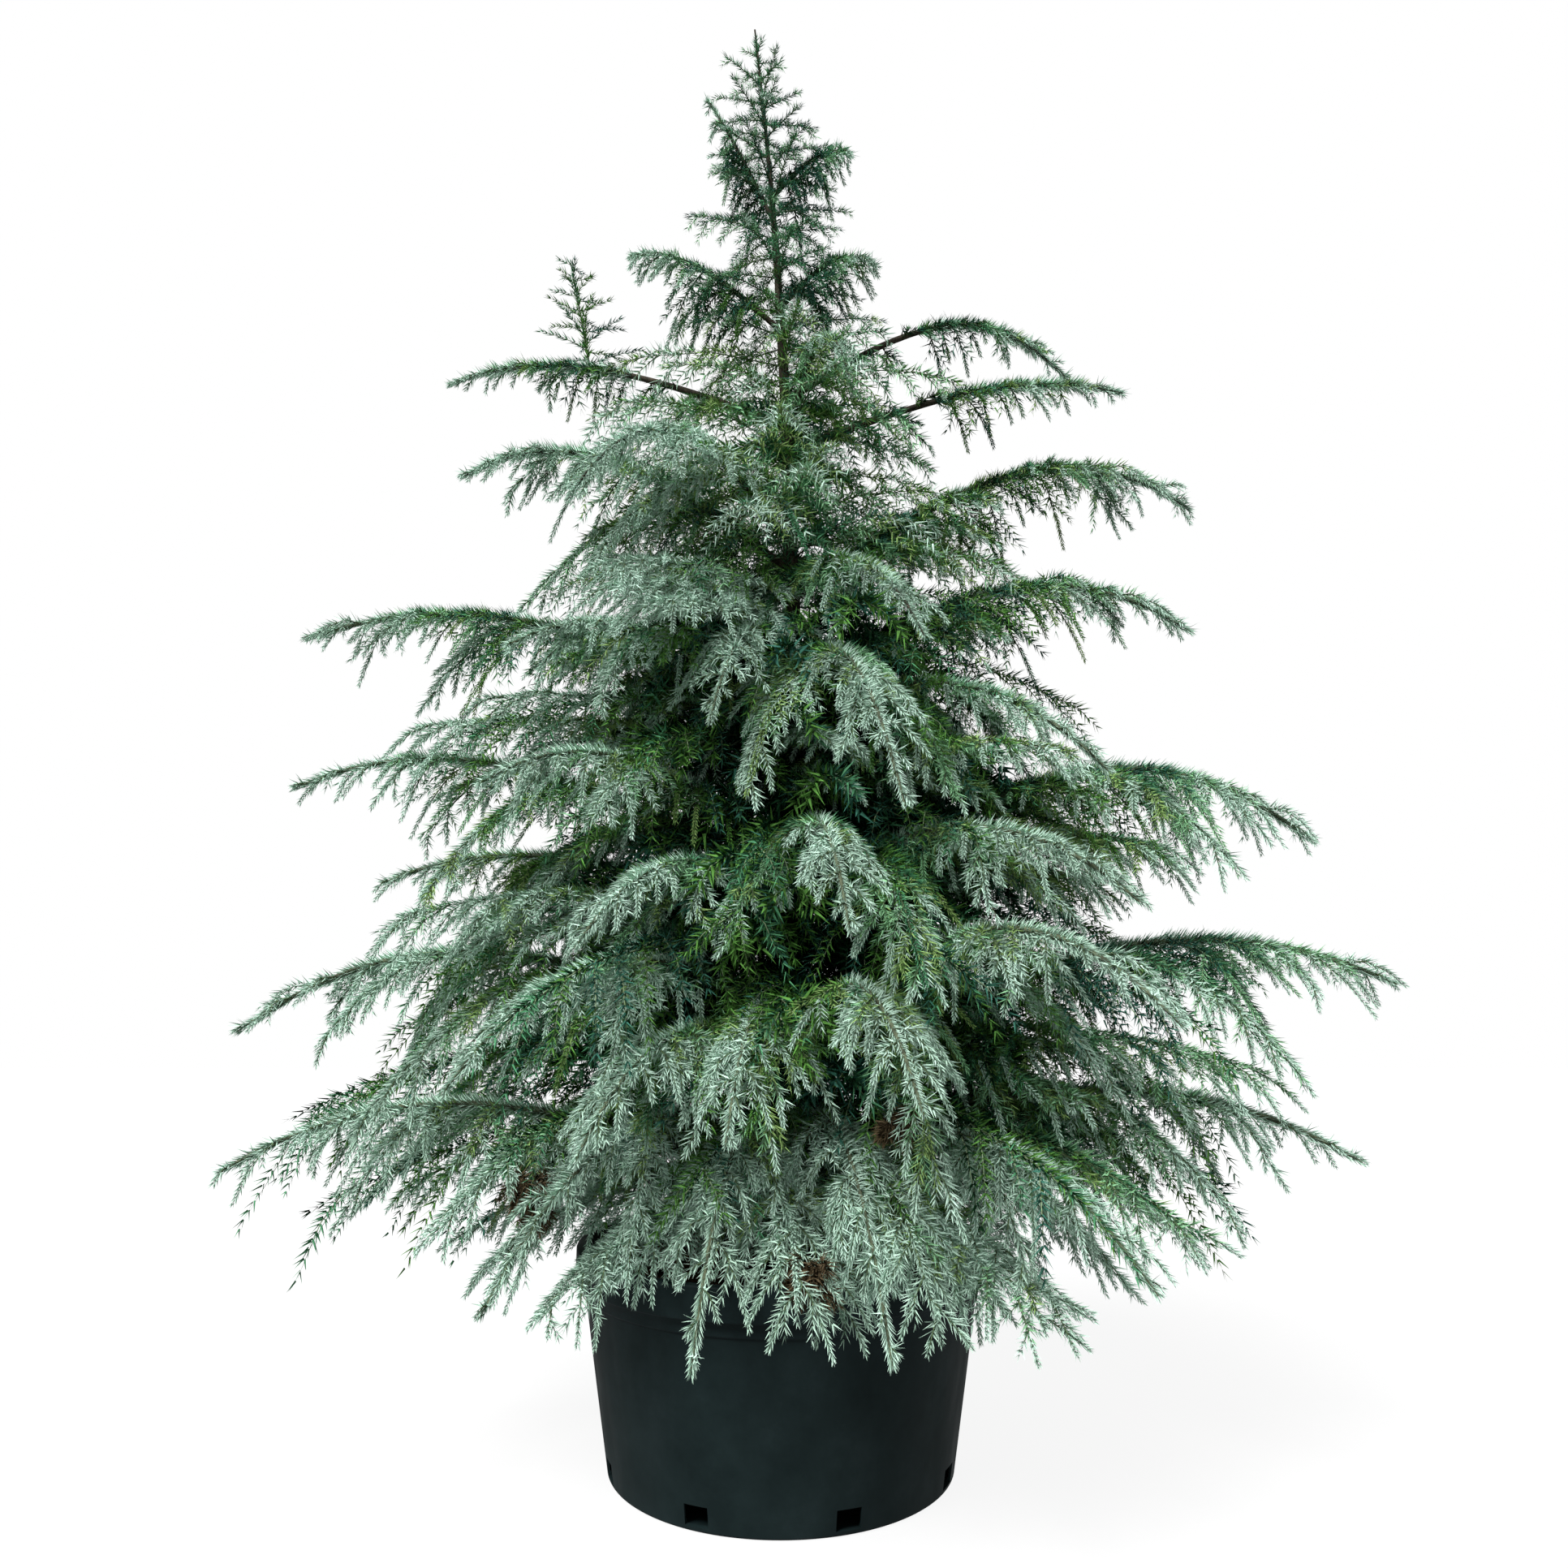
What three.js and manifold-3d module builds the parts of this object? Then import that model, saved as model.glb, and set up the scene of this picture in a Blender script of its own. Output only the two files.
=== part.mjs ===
// A young deodar cedar about 2.15 m tall, in the black plastic nursery pot that it was grown in.
// Millimetres, +Z up. The origin is the centre of the pot's flat underside, and the plant's
// front looks along -Y. Headings are in degrees from +X, so 180 is left and 270 is the front.

import * as THREE from 'three';
import { mergeVertices } from 'three/addons/utils/BufferGeometryUtils.js';
import Module from 'manifold-3d';

const wasm = await Module();
wasm.setup();

// Clear space between solids
const CLEARANCE = 0.3;
const SPRAY_CLEARANCE = 0.6;
const FACET_ALLOWANCE = 0.1;

// Pot
const POT_SEGMENTS = 32;
const POT_BASE_RADIUS = 222;
const POT_EDGE = 4;
const POT_WALL = 5;
const POT_FLOOR = 4;
const POT_BAND = { bottom: 216, radius: 256, proud: 3 };
const POT_LIP = { bottom: 234, top: 272, radius: 269, turn: 3 };
const DRAIN_HOLE = { count: 8, first: 20, width: 30, bottom: 6, top: 29, depth: 40 };
const SOIL_TOP = 244;

// Trunk
const TRUNK_TOP = 2150;
const TRUNK_LEAN = -44;
const TRUNK_BOW = 20;
const TRUNK_SWAY = 9;
const TRUNK_RADIUS = 23;
const TRUNK_TIP_RADIUS = 1.6;
const TRUNK_TAPER = 1.2;
const FLARE = { radius: 11, height: 32 };
const TRUNK_SIDES = 8;
const TRUNK_RING_STEP = 130;

// Limbs, in tiers from the rim of the pot up to the leader. Each row is the heading of the
// limb's tip, its reach from the pot's axis, the height of its tip, and how far its middle
// arches above the straight line from root to tip. A bough is a limb of its own up to its
// joint and then a mass of foliage. A sprig is a mass that starts at the trunk. A tier is
// clothed by how many side branches its limbs have, and its fan is how long its twigs are.
const TIERS = [
  {
    name: 'skirt', root: 335, clothed: 1, fan: 1,
    boughs: [],
    sprigs: [[200, 690, 390, 92], [345, 720, 395, 88], [225, 450, 255, 110],
      [257, 395, 220, 148], [286, 405, 228, 140], [314, 545, 295, 120],
      [28, 620, 360, 80], [82, 540, 310, 85], [138, 590, 350, 80]],
  },
  {
    name: 'low', root: 480, clothed: 1, fan: 1,
    boughs: [[351, 800, 605, 105]],
    sprigs: [[190, 705, 545, 115], [229, 530, 490, 112], [244, 470, 425, 95],
      [262, 400, 440, 95], [285, 520, 480, 125], [312, 600, 560, 125],
      [52, 610, 530, 80], [110, 580, 520, 80]],
  },
  {
    name: 'middle', root: 700, clothed: 1, fan: 1,
    boughs: [[350, 710, 790, 145]],
    sprigs: [[194, 650, 855, 90], [222, 470, 830, 80], [240, 440, 640, 80],
      [279, 450, 655, 98], [172, 600, 755, 60], [316, 540, 690, 85],
      [66, 510, 770, 70], [122, 500, 760, 70]],
  },
  {
    name: 'upper', root: 1000, clothed: 1, fan: 1,
    boughs: [[186, 670, 1085, 75], [350, 575, 1085, 100]],
    sprigs: [[256, 340, 900, 85], [215, 420, 1020, 60], [288, 430, 790, 105],
      [328, 470, 860, 80], [44, 450, 1000, 60], [128, 460, 1000, 60]],
  },
  {
    name: 'high', root: 1170, clothed: 1, fan: 1,
    boughs: [[0, 615, 1310, 120]],
    sprigs: [[203, 465, 1275, 90], [234, 430, 1165, 130], [302, 330, 1020, 70],
      [92, 380, 1270, 50]],
  },
  {
    name: 'crown', root: 1400, clothed: 0.35, fan: 0.6,
    boughs: [[355, 512, 1475, 45], [177, 520, 1530, 58], [10, 480, 1560, 118]],
    sprigs: [[292, 240, 1400, 100], [84, 290, 1480, 40]],
  },
  {
    name: 'leader', root: 1600, clothed: 1, fan: 1,
    boughs: [],
    sprigs: [[190, 235, 1705, 40], [345, 150, 1690, 40]],
  },
  {
    name: 'tip', root: 1790, clothed: 1, fan: 1,
    boughs: [],
    sprigs: [[178, 120, 2020, 10], [2, 110, 1920, 30]],
  },
];
const ROOT_STEP = 21;
const ROOT_CYCLE = 5;
const ROOT_STRIDE = 2;

// Boughs
const BOUGH_SIDES = 6;
const BOUGH_RINGS = 5;
const BOUGH_JOINT = 0.42;
const JOINT_MARGIN = 0.03;
const BOUGH_ROOT_RADIUS = 3.2;
const BOUGH_STOUTNESS = 0.0062;
const LIMB_TIP_SHARE = 0.3;
const ARCH_RISE = { foot: 0.6, lead: 0.7 };

// Side branches of a limb, which fill the room under it and have tips of their own
const LATERALS = {
  spacing: 104, margin: 0.02, last: 0.84, scatter: 0.3, climb: 0.55, sag: 0.4, stoutness: 0.55,
  share: { root: 0.78, tip: 0.56 },
  spread: { root: 34, tip: 42, scatter: 16 },
  drop: { root: 0.85, tip: 0.8 },
  lowest: { share: 0.8, least: 235, most: 300 },
};

// Foliage
const SPRIG_START = 0.14;
const STEM_BARE = 0.8;
const STEM_RINGS = 4;
const FAN_SHARE = 0.22;
const FAN_LEAST = 75;
const FAN_MOST_SHARE = 0.75;
const FAN_TAPER = 0.78;
const TWIG_SLOTS = 24;
const LONG_REACH = 455;
const SLOTS_PER_LONG_TWIG = 5;
const SLOTS_PER_SHORT_TWIG = 9;
const TWIG_SPREAD = { root: 66, tip: 38, scatter: 12 };
const TWIG_DROP = { root: 1.0, tip: 0.95, scatter: 0.4 };
const TWIG_RADIUS = 3;
const PLUME_HALF_WIDTH = 0.23;
const NEEDLE_REACH = 9;
const PLUME_FLATNESS = 0.6;
const LONG_PLUME = [1, 0.75];
const SHORT_PLUME = [1, 0.6];
const PLUME_START = 0.12;
const PLUME_BARB = 0.5;
const SECTOR_HALF_ANGLE = 60;
const SECTOR_FREE_RADIUS = 240;
const REACH_SLACK = 0.04;

// The upright second leader that stands on the left bough of the crown
const SECOND_LEADER = { tier: 'crown', bough: 1, place: 0.58, height: 185, lean: -35 };

const UP = new THREE.Vector3(0, 0, 1);
const radians = THREE.MathUtils.degToRad;
const mix = THREE.MathUtils.lerp;

/** A repeatable number from 0 to 1 for the growth rule. */
function scatter(a, b, c) {
  const value = Math.sin(a * 12.9898 + b * 78.233 + c * 37.719) * 43758.5453;
  return value - Math.floor(value);
}

/** A level unit vector with this heading. */
function level(heading) {
  return new THREE.Vector3(Math.cos(radians(heading)), Math.sin(radians(heading)), 0);
}

// Solids

/** A closed geometry as a solid that can be joined and cut. */
function toSolid(geometry) {
  const bare = geometry.clone();
  bare.deleteAttribute('normal');
  bare.deleteAttribute('uv');
  const merged = mergeVertices(bare);
  const corners = merged.index.array;
  const triangles = [];
  for (let i = 0; i < corners.length; i += 3) {
    const [a, b, c] = [corners[i], corners[i + 1], corners[i + 2]];
    if (a !== b && b !== c && c !== a) triangles.push(a, b, c);
  }
  return new wasm.Manifold(new wasm.Mesh({
    numProp: 3,
    vertProperties: new Float32Array(merged.attributes.position.array),
    triVerts: new Uint32Array(triangles),
  }));
}

/** A solid as a named mesh, with loose scraps dropped and sealed hollows filled. */
function toMesh(name, solid, material) {
  const body = solid.decompose().reduce((a, b) => (a.volume() > b.volume() ? a : b));
  const { vertProperties, triVerts } = body.getMesh();
  const geometry = new THREE.BufferGeometry();
  geometry.setAttribute('position', new THREE.BufferAttribute(vertProperties, 3));
  geometry.setIndex(new THREE.BufferAttribute(triVerts, 1));
  geometry.computeVertexNormals();
  const mesh = new THREE.Mesh(geometry, material);
  mesh.name = name;
  return mesh;
}

/** A round solid from a profile of [radius, height] pairs that starts and ends on the axis. */
function turned(profile, segments) {
  const points = profile.map(([radius, height]) => new THREE.Vector2(radius, height));
  const geometry = new THREE.LatheGeometry(points, segments);
  geometry.rotateX(Math.PI / 2);
  return toSolid(geometry);
}

/**
 * A solid swept along points, with a ring of the given radius on each. It is a lathed
 * profile whose rings are moved onto the points, square to the line or to a given axis. A
 * flatness under 1 makes it flatter than it is wide, and barbs lean its wide rings forward.
 */
function sweep(points, radii, options = {}) {
  const { sides = 3, flatness = 1, barb = 0, facing = UP, axis } = options;
  const last = radii.length - 1;
  const profile = radii.map((radius, ring) => new THREE.Vector2(radius, ring));
  if (radii[0] > 0) profile.unshift(new THREE.Vector2(0, 0));
  if (radii[last] > 0) profile.push(new THREE.Vector2(0, last));
  const geometry = new THREE.LatheGeometry(profile, sides);
  const position = geometry.attributes.position;
  for (let v = 0; v < position.count; v += 1) {
    const ring = Math.round(position.getY(v));
    const chord = points[Math.min(ring + 1, last)].clone().sub(points[Math.max(ring - 1, 0)]);
    const along = axis ?? chord.normalize();
    const side = along.clone().cross(facing).normalize();
    const up = side.clone().cross(along);
    const across = position.getX(v);
    const rise = position.getZ(v) * flatness;
    const moved = points[ring].clone()
      .addScaledVector(side, across)
      .addScaledVector(up, rise)
      .addScaledVector(along, barb * Math.abs(across));
    position.setXYZ(v, moved.x, moved.y, moved.z);
  }
  return toSolid(geometry);
}

// The lines that the plant grows along, which are the same rule at every order

/** The trunk's centre at a height. */
function trunkAxis(height) {
  const u = (height - SOIL_TOP) / (TRUNK_TOP - SOIL_TOP);
  const x = TRUNK_LEAN * u ** 3 + TRUNK_BOW * Math.sin(Math.PI * u);
  return new THREE.Vector3(x, TRUNK_SWAY * Math.sin(2 * Math.PI * u), height);
}

/** The trunk's radius at a height. */
function trunkRadius(height) {
  const u = (height - SOIL_TOP) / (TRUNK_TOP - SOIL_TOP);
  const flare = FLARE.radius * Math.exp((SOIL_TOP - height) / FLARE.height);
  return TRUNK_RADIUS * Math.max(1 - u, 0) ** TRUNK_TAPER + TRUNK_TIP_RADIUS + flare;
}

/** A point on a limb, from its root on the trunk's axis at 0 to its tip at 1. */
function limbPoint(limb, s) {
  const root = trunkAxis(limb.root);
  const point = level(limb.heading).multiplyScalar(limb.reach * s);
  point.addScaledVector(new THREE.Vector3(root.x, root.y, 0), 1 - s);
  const arch = 4 * limb.arch * s * (1 - s) * (ARCH_RISE.foot + ARCH_RISE.lead * s);
  point.z = mix(limb.root, limb.tip, s) + arch;
  return point;
}

/** How steeply a limb climbs or falls at a share of its length. */
function limbSlope(limb, s) {
  const { foot, lead } = ARCH_RISE;
  const arch = 4 * limb.arch * (foot + 2 * (lead - foot) * s - 3 * lead * s * s);
  return (limb.tip - limb.root + arch) / limb.reach;
}

/** A limb's radius, which tapers from its root to its tip. */
function limbRadius(limb, s) {
  const root = BOUGH_ROOT_RADIUS + BOUGH_STOUTNESS * limb.reach;
  return root * mix(1, LIMB_TIP_SHARE, s);
}

/** The twig in one slot of a limb: where it starts, its heading, length and drop. */
function twigAt(limb, slot) {
  const u = (slot + 0.5) / TWIG_SLOTS;
  const side = slot % 2 ? 1 : -1;
  const jitter = TWIG_SPREAD.scatter * (scatter(limb.seed, slot, 1) * 2 - 1);
  const spread = mix(TWIG_SPREAD.root, TWIG_SPREAD.tip, u) + jitter;
  const sway = TWIG_DROP.scatter * (scatter(limb.seed, slot, 3) - 0.5);
  const fan = Math.min(FAN_LEAST + FAN_SHARE * limb.reach, FAN_MOST_SHARE * limb.reach);
  const length = limb.fan * fan * (1 - FAN_TAPER * u) * (0.8 + 0.4 * scatter(limb.seed, slot, 2));
  return {
    start: limbPoint(limb, mix(limb.start, 1, u)),
    heading: limb.heading + side * spread,
    length,
    rise: 0,
    drop: length * (mix(TWIG_DROP.root, TWIG_DROP.tip, u) + sway),
    radius: TWIG_RADIUS,
  };
}

/** One of a limb's side branches, which is longer, the more of the limb is still ahead. */
function lateralAt(limb, index, count) {
  const across = (index + 0.5) / count;
  const between = ({ root, tip }) => mix(root, tip, across);
  const chance = [51, 52, 53].map((salt) => scatter(limb.seed, index, salt) - 0.5);
  const s = mix(limb.start + LATERALS.margin, LATERALS.last, across);
  const start = limbPoint(limb, s);
  const ahead = limb.fan * limb.reach * (1 - s);
  const length = ahead * between(LATERALS.share) * (1 + LATERALS.scatter * chance[0]);
  const spread = between(LATERALS.spread) + LATERALS.spread.scatter * chance[1];
  const rise = length * limbSlope(limb, s) * LATERALS.climb;
  const drop = length * (between(LATERALS.drop) + LATERALS.sag * chance[2]);
  const { share, least, most } = LATERALS.lowest;
  const lowest = THREE.MathUtils.clamp(share * limb.tip, least, most);
  return {
    start,
    heading: limb.heading + (index % 2 ? 1 : -1) * spread,
    length,
    rise,
    drop: Math.min(drop, start.z + rise - lowest),
    radius: LATERALS.stoutness * limbRadius(limb, s),
  };
}

/** A limb's side branches, which are spaced along it from its start. */
function lateralsOf(limb) {
  const room = limb.reach * (LATERALS.last - limb.start - LATERALS.margin);
  const count = Math.max(1, Math.round((limb.clothed * room) / LATERALS.spacing));
  return Array.from({ length: count }, (_, index) => lateralAt(limb, index, count));
}

/** A point on a twig or side branch, which runs on along its own slope and then falls. */
function twigPoint(twig, t) {
  const point = twig.start.clone().addScaledVector(level(twig.heading), twig.length * t);
  point.z += twig.rise * t - twig.drop * t * t;
  return point;
}

// The foliage's elements

/** The places of a plume's rings between two shares of a line. */
function plumePlaces(teeth, from, to) {
  const steps = teeth.length + 1;
  return Array.from({ length: steps }, (_, ring) => mix(from, to, (ring + 1) / steps));
}

/** The radii of a toothed plume of needles of this length, which ends in a point. */
function plumeRadii(teeth, length) {
  const halfWidth = PLUME_HALF_WIDTH * length + NEEDLE_REACH;
  return [...teeth.map((share) => share * halfWidth), 0];
}

/** A three-sided twig that widens into a toothed plume of needles. */
function twigSolid(twig, teeth) {
  const points = [0, ...plumePlaces(teeth, PLUME_START, 1)].map((t) => twigPoint(twig, t));
  const radii = [twig.radius, ...plumeRadii(teeth, twig.length)];
  const options = { flatness: PLUME_FLATNESS, barb: PLUME_BARB };
  return { points, solid: sweep(points, radii, options) };
}

/** A limb's stem inside its foliage, from the limb's joint or the trunk to its tip. */
function stemSolid(limb, from) {
  const tube = Array.from({ length: STEM_RINGS }, (_, ring) => (
    mix(from, STEM_BARE, ring / (STEM_RINGS - 1))));
  const places = [...tube, ...plumePlaces(LONG_PLUME, STEM_BARE, 1)];
  const points = places.map((s) => limbPoint(limb, s));
  const radii = tube.map((s) => limbRadius(limb, s));
  radii.push(...plumeRadii(LONG_PLUME, limb.reach * (1 - STEM_BARE)));
  return sweep(points, radii, { barb: PLUME_BARB });
}

/** The second leader: an upright shoot with two rings of barbs. */
function secondLeader(limb) {
  const foot = limbPoint(limb, SECOND_LEADER.place);
  const places = [0, ...plumePlaces(LONG_PLUME, PLUME_START, 1)];
  const points = places.map((t) => new THREE.Vector3(
    foot.x + SECOND_LEADER.lean * t,
    foot.y,
    foot.z + SECOND_LEADER.height * t,
  ));
  const radii = [TWIG_RADIUS, ...plumeRadii(LONG_PLUME, SECOND_LEADER.height / 2)];
  return { points, solid: sweep(points, radii, { barb: PLUME_BARB, facing: level(90) }) };
}

// Space

/** Whether every point of an element lies in its limb's own sector and within its reach. */
function insideSpace(limb, points) {
  return points.every((point) => {
    const reach = Math.hypot(point.x, point.y);
    const turn = THREE.MathUtils.radToDeg(Math.atan2(point.y, point.x)) - limb.heading;
    const off = Math.abs(THREE.MathUtils.euclideanModulo(turn + 180, 360) - 180);
    const inSector = reach < SECTOR_FREE_RADIUS || off < SECTOR_HALF_ANGLE;
    return inSector && reach < limb.reach * (1 + REACH_SLACK);
  });
}

/** Whether two boxes come within the clearance of each other. */
function boxesMeet(a, b) {
  return [0, 1, 2].every((axis) => a.min[axis] - SPRAY_CLEARANCE < b.max[axis]
    && b.min[axis] - SPRAY_CLEARANCE < a.max[axis]);
}

/** Every solid that has been placed so far, with the node that it belongs to. */
const placed = [];

/** Records a solid as part of a node. */
function place(node, solid) {
  placed.push({ node, solid, box: solid.boundingBox() });
}

/** Whether a solid is clear of every node but its own. */
function isClear(node, solid) {
  const box = solid.boundingBox();
  return placed.every((other) => other.node === node || !boxesMeet(box, other.box)
    || other.solid.minGap(solid, 2 * SPRAY_CLEARANCE) >= SPRAY_CLEARANCE);
}

// Sub-parts

/** The pot: a tapering wall with a band and a lip, a floor, and drain holes at its foot. */
function potSolid() {
  const wallAt = (height) => mix(POT_BASE_RADIUS, POT_BAND.radius, height / POT_BAND.bottom);
  const body = turned([
    [0, 0],
    [POT_BASE_RADIUS - POT_EDGE, 0],
    [wallAt(POT_EDGE), POT_EDGE],
    [POT_BAND.radius, POT_BAND.bottom],
    [POT_BAND.radius + POT_BAND.proud, POT_BAND.bottom + POT_BAND.proud],
    [POT_BAND.radius + 2 * POT_BAND.proud, POT_LIP.bottom - POT_BAND.proud],
    [POT_LIP.radius, POT_LIP.bottom],
    [POT_LIP.radius, POT_LIP.top - POT_LIP.turn],
    [POT_LIP.radius - POT_LIP.turn, POT_LIP.top],
    [POT_BAND.radius, POT_LIP.top],
    [wallAt(POT_FLOOR) - POT_WALL, POT_FLOOR],
    [0, POT_FLOOR],
  ], POT_SEGMENTS);
  const { count, first, width, bottom, top, depth } = DRAIN_HOLE;
  const cutters = [];
  for (let hole = 0; hole < count; hole += 1) {
    const box = new THREE.BoxGeometry(depth, width, top - bottom);
    box.translate(POT_BASE_RADIUS, 0, (top + bottom) / 2);
    box.rotateZ(radians(first + hole * 360 / count));
    cutters.push(toSolid(box));
  }
  return cutters.reduce((pot, cutter) => pot.subtract(cutter), body);
}

/** The soil: it fills the pot, with a flat top a little under the rim. */
function soilSolid() {
  const floor = POT_FLOOR + CLEARANCE;
  const innerFoot = mix(POT_BASE_RADIUS, POT_BAND.radius, POT_FLOOR / POT_BAND.bottom) - POT_WALL;
  const rise = (SOIL_TOP - POT_FLOOR) / (POT_LIP.top - POT_FLOOR);
  const side = CLEARANCE + FACET_ALLOWANCE;
  return turned([
    [0, floor],
    [innerFoot - side, floor],
    [mix(innerFoot, POT_BAND.radius, rise) - side, SOIL_TOP],
    [0, SOIL_TOP],
  ], POT_SEGMENTS);
}

/** The trunk, from its flat foot on the soil to the leader's tip, grown by an allowance. */
function trunkSolid(allowance) {
  const foot = SOIL_TOP + CLEARANCE;
  const flareTop = foot + 1.5 * FLARE.height;
  const heights = [foot, mix(foot, flareTop, 0.35), flareTop];
  const steps = Math.round((TRUNK_TOP - flareTop) / TRUNK_RING_STEP);
  for (let step = 1; step <= steps; step += 1) {
    heights.push(mix(flareTop, TRUNK_TOP, step / steps));
  }
  const points = heights.map(trunkAxis);
  const radii = heights.map((height) => trunkRadius(height) + allowance);
  return sweep(points, radii, { sides: TRUNK_SIDES, facing: level(90), axis: UP });
}

/** A bough: one tapering limb from the trunk to its joint with the foliage. */
function boughSolid(limb, fatTrunk) {
  const points = [];
  const radii = [];
  for (let ring = 0; ring < BOUGH_RINGS; ring += 1) {
    const s = (limb.joint * ring) / (BOUGH_RINGS - 1);
    points.push(limbPoint(limb, s));
    radii.push(limbRadius(limb, s));
  }
  return sweep(points, radii, { sides: BOUGH_SIDES }).subtract(fatTrunk);
}

/** The limbs of every tier, with their names, roots and seeds. */
function listLimbs() {
  const limbs = [];
  for (const tier of TIERS) {
    const { clothed, fan } = tier;
    const rows = [...tier.boughs, ...tier.sprigs];
    rows.forEach(([heading, reach, tip, arch], i) => {
      const isBough = i < tier.boughs.length;
      const joint = isBough ? BOUGH_JOINT : 0;
      limbs.push({
        label: `${tier.name}_${i + 1}`,
        isBough,
        heading, reach, tip, arch, joint, clothed, fan,
        start: isBough ? joint + JOINT_MARGIN : SPRIG_START,
        root: tier.root + ROOT_STEP * ((i * ROOT_STRIDE) % ROOT_CYCLE),
        seed: limbs.length + 1,
        hasLeader: tier.name === SECOND_LEADER.tier && i === SECOND_LEADER.bough,
      });
    });
  }
  return limbs;
}

/** Adds an element to a limb's mass where it has room. */
function grow(limb, { points, solid }) {
  if (!insideSpace(limb, points) || !isClear(limb.label, solid)) return;
  limb.mass.push(solid);
  place(limb.label, solid);
}

/** Adds a limb's twigs to its mass. */
function growTwigs(limb) {
  const isLong = limb.isBough || limb.reach > LONG_REACH;
  const stride = isLong ? SLOTS_PER_LONG_TWIG : SLOTS_PER_SHORT_TWIG;
  for (let slot = 1; slot < TWIG_SLOTS; slot += stride) {
    grow(limb, twigSolid(twigAt(limb, slot), SHORT_PLUME));
  }
}

/** The whole plant and its pot. */
function build() {
  const group = new THREE.Group();
  const limbs = listLimbs();
  const trunk = trunkSolid(0);
  const fatTrunk = trunkSolid(CLEARANCE + FACET_ALLOWANCE);
  const fixed = { pot: potSolid(), soil: soilSolid(), trunk };
  Object.entries(fixed).forEach(([name, solid]) => {
    place(name, solid);
    group.add(toMesh(name, solid, MATERIALS[name]));
  });

  for (const limb of limbs) {
    if (limb.isBough) {
      const bough = boughSolid(limb, fatTrunk);
      place(`bough_${limb.label}`, bough);
      group.add(toMesh(`bough_${limb.label}`, bough, MATERIALS.bough));
    }
    const gap = limb.isBough ? CLEARANCE / limb.reach : 0;
    const stem = stemSolid(limb, limb.joint + gap);
    limb.mass = [limb.isBough ? stem : stem.subtract(fatTrunk)];
    place(limb.label, limb.mass[0]);
  }
  for (const limb of limbs) {
    if (limb.hasLeader) grow(limb, secondLeader(limb));
    lateralsOf(limb).forEach((lateral) => grow(limb, twigSolid(lateral, LONG_PLUME)));
  }
  for (const limb of limbs) {
    growTwigs(limb);
    const solid = wasm.Manifold.union(limb.mass);
    group.add(toMesh(`foliage_${limb.label}`, solid, MATERIALS.foliage));
  }
  return group;
}

// Materials
const MATERIALS = {
  pot: new THREE.MeshStandardMaterial({ color: '#1C2526', roughness: 0.5, metalness: 0 }),
  soil: new THREE.MeshStandardMaterial({ color: '#3A2A1F', roughness: 0.95, metalness: 0 }),
  trunk: new THREE.MeshStandardMaterial({ color: '#4A4238', roughness: 0.9, metalness: 0 }),
  bough: new THREE.MeshStandardMaterial({ color: '#514A3F', roughness: 0.9, metalness: 0 }),
  foliage: new THREE.MeshStandardMaterial({ color: '#6B8D7E', roughness: 0.8, metalness: 0 }),
};

export default build();
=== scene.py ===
"""The looks of a young deodar cedar in a black nursery pot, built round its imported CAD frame.

The plant grows in millimetres, by the rule of the part's own source: limbs on the trunk, then
twigs on the limbs. Here the rule goes on to fine shoots and to needles. Meshes are in metres,
+Z up, and the plant's front looks along -Y. Headings are in degrees from +X.
"""

import math

import bmesh
import bpy
import numpy as np
from mathutils import Matrix, Vector, noise


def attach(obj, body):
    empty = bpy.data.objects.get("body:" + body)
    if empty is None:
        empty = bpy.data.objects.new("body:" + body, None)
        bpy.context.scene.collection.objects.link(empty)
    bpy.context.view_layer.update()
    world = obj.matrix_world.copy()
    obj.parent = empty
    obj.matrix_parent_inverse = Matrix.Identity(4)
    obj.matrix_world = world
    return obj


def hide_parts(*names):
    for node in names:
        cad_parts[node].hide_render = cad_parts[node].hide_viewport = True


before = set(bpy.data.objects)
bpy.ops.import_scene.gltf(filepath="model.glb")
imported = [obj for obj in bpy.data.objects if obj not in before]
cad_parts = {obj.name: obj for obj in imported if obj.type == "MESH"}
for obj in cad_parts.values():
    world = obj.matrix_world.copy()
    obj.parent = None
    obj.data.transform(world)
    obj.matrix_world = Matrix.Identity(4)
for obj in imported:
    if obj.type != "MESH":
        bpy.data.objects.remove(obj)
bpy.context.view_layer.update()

MM = 0.001

# Camera, solved from the rim and the foot of the pot in the photograph
CAMERA_PLACE = (0.004, -1.60, 0.5904)
CAMERA_PITCH = 10.6
CAMERA_LENS = 26
CAMERA_SENSOR = 36

# Light: how much of the white dome reaches the plant, and the key's aim, strength and softness
DOME_STRENGTH = 0.28
KEY = {"aim": (0.44, 0.6, -1.0), "strength": 4.4, "softness": 26}

# Floor, in metres
FLOOR = {"half_side": 8.0, "height": -0.0005, "glow": 0.9, "colour": "#606060"}

# Pot, in millimetres
POT_SEGMENTS = 144
POT_BASE_RADIUS = 222
POT_EDGE = 4
POT_WALL = 5
POT_FLOOR = 4
POT_BAND = {"bottom": 216, "radius": 256, "proud": 3}
POT_LIP = {"bottom": 234, "top": 272, "radius": 269, "turn": 3, "edge": 2}
POT_FILLET = {"height": 8, "half_width": 3}
DRAIN_HOLE = {"count": 8, "first": 20, "width": 30, "bottom": 6, "top": 29, "depth": 40}

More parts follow.
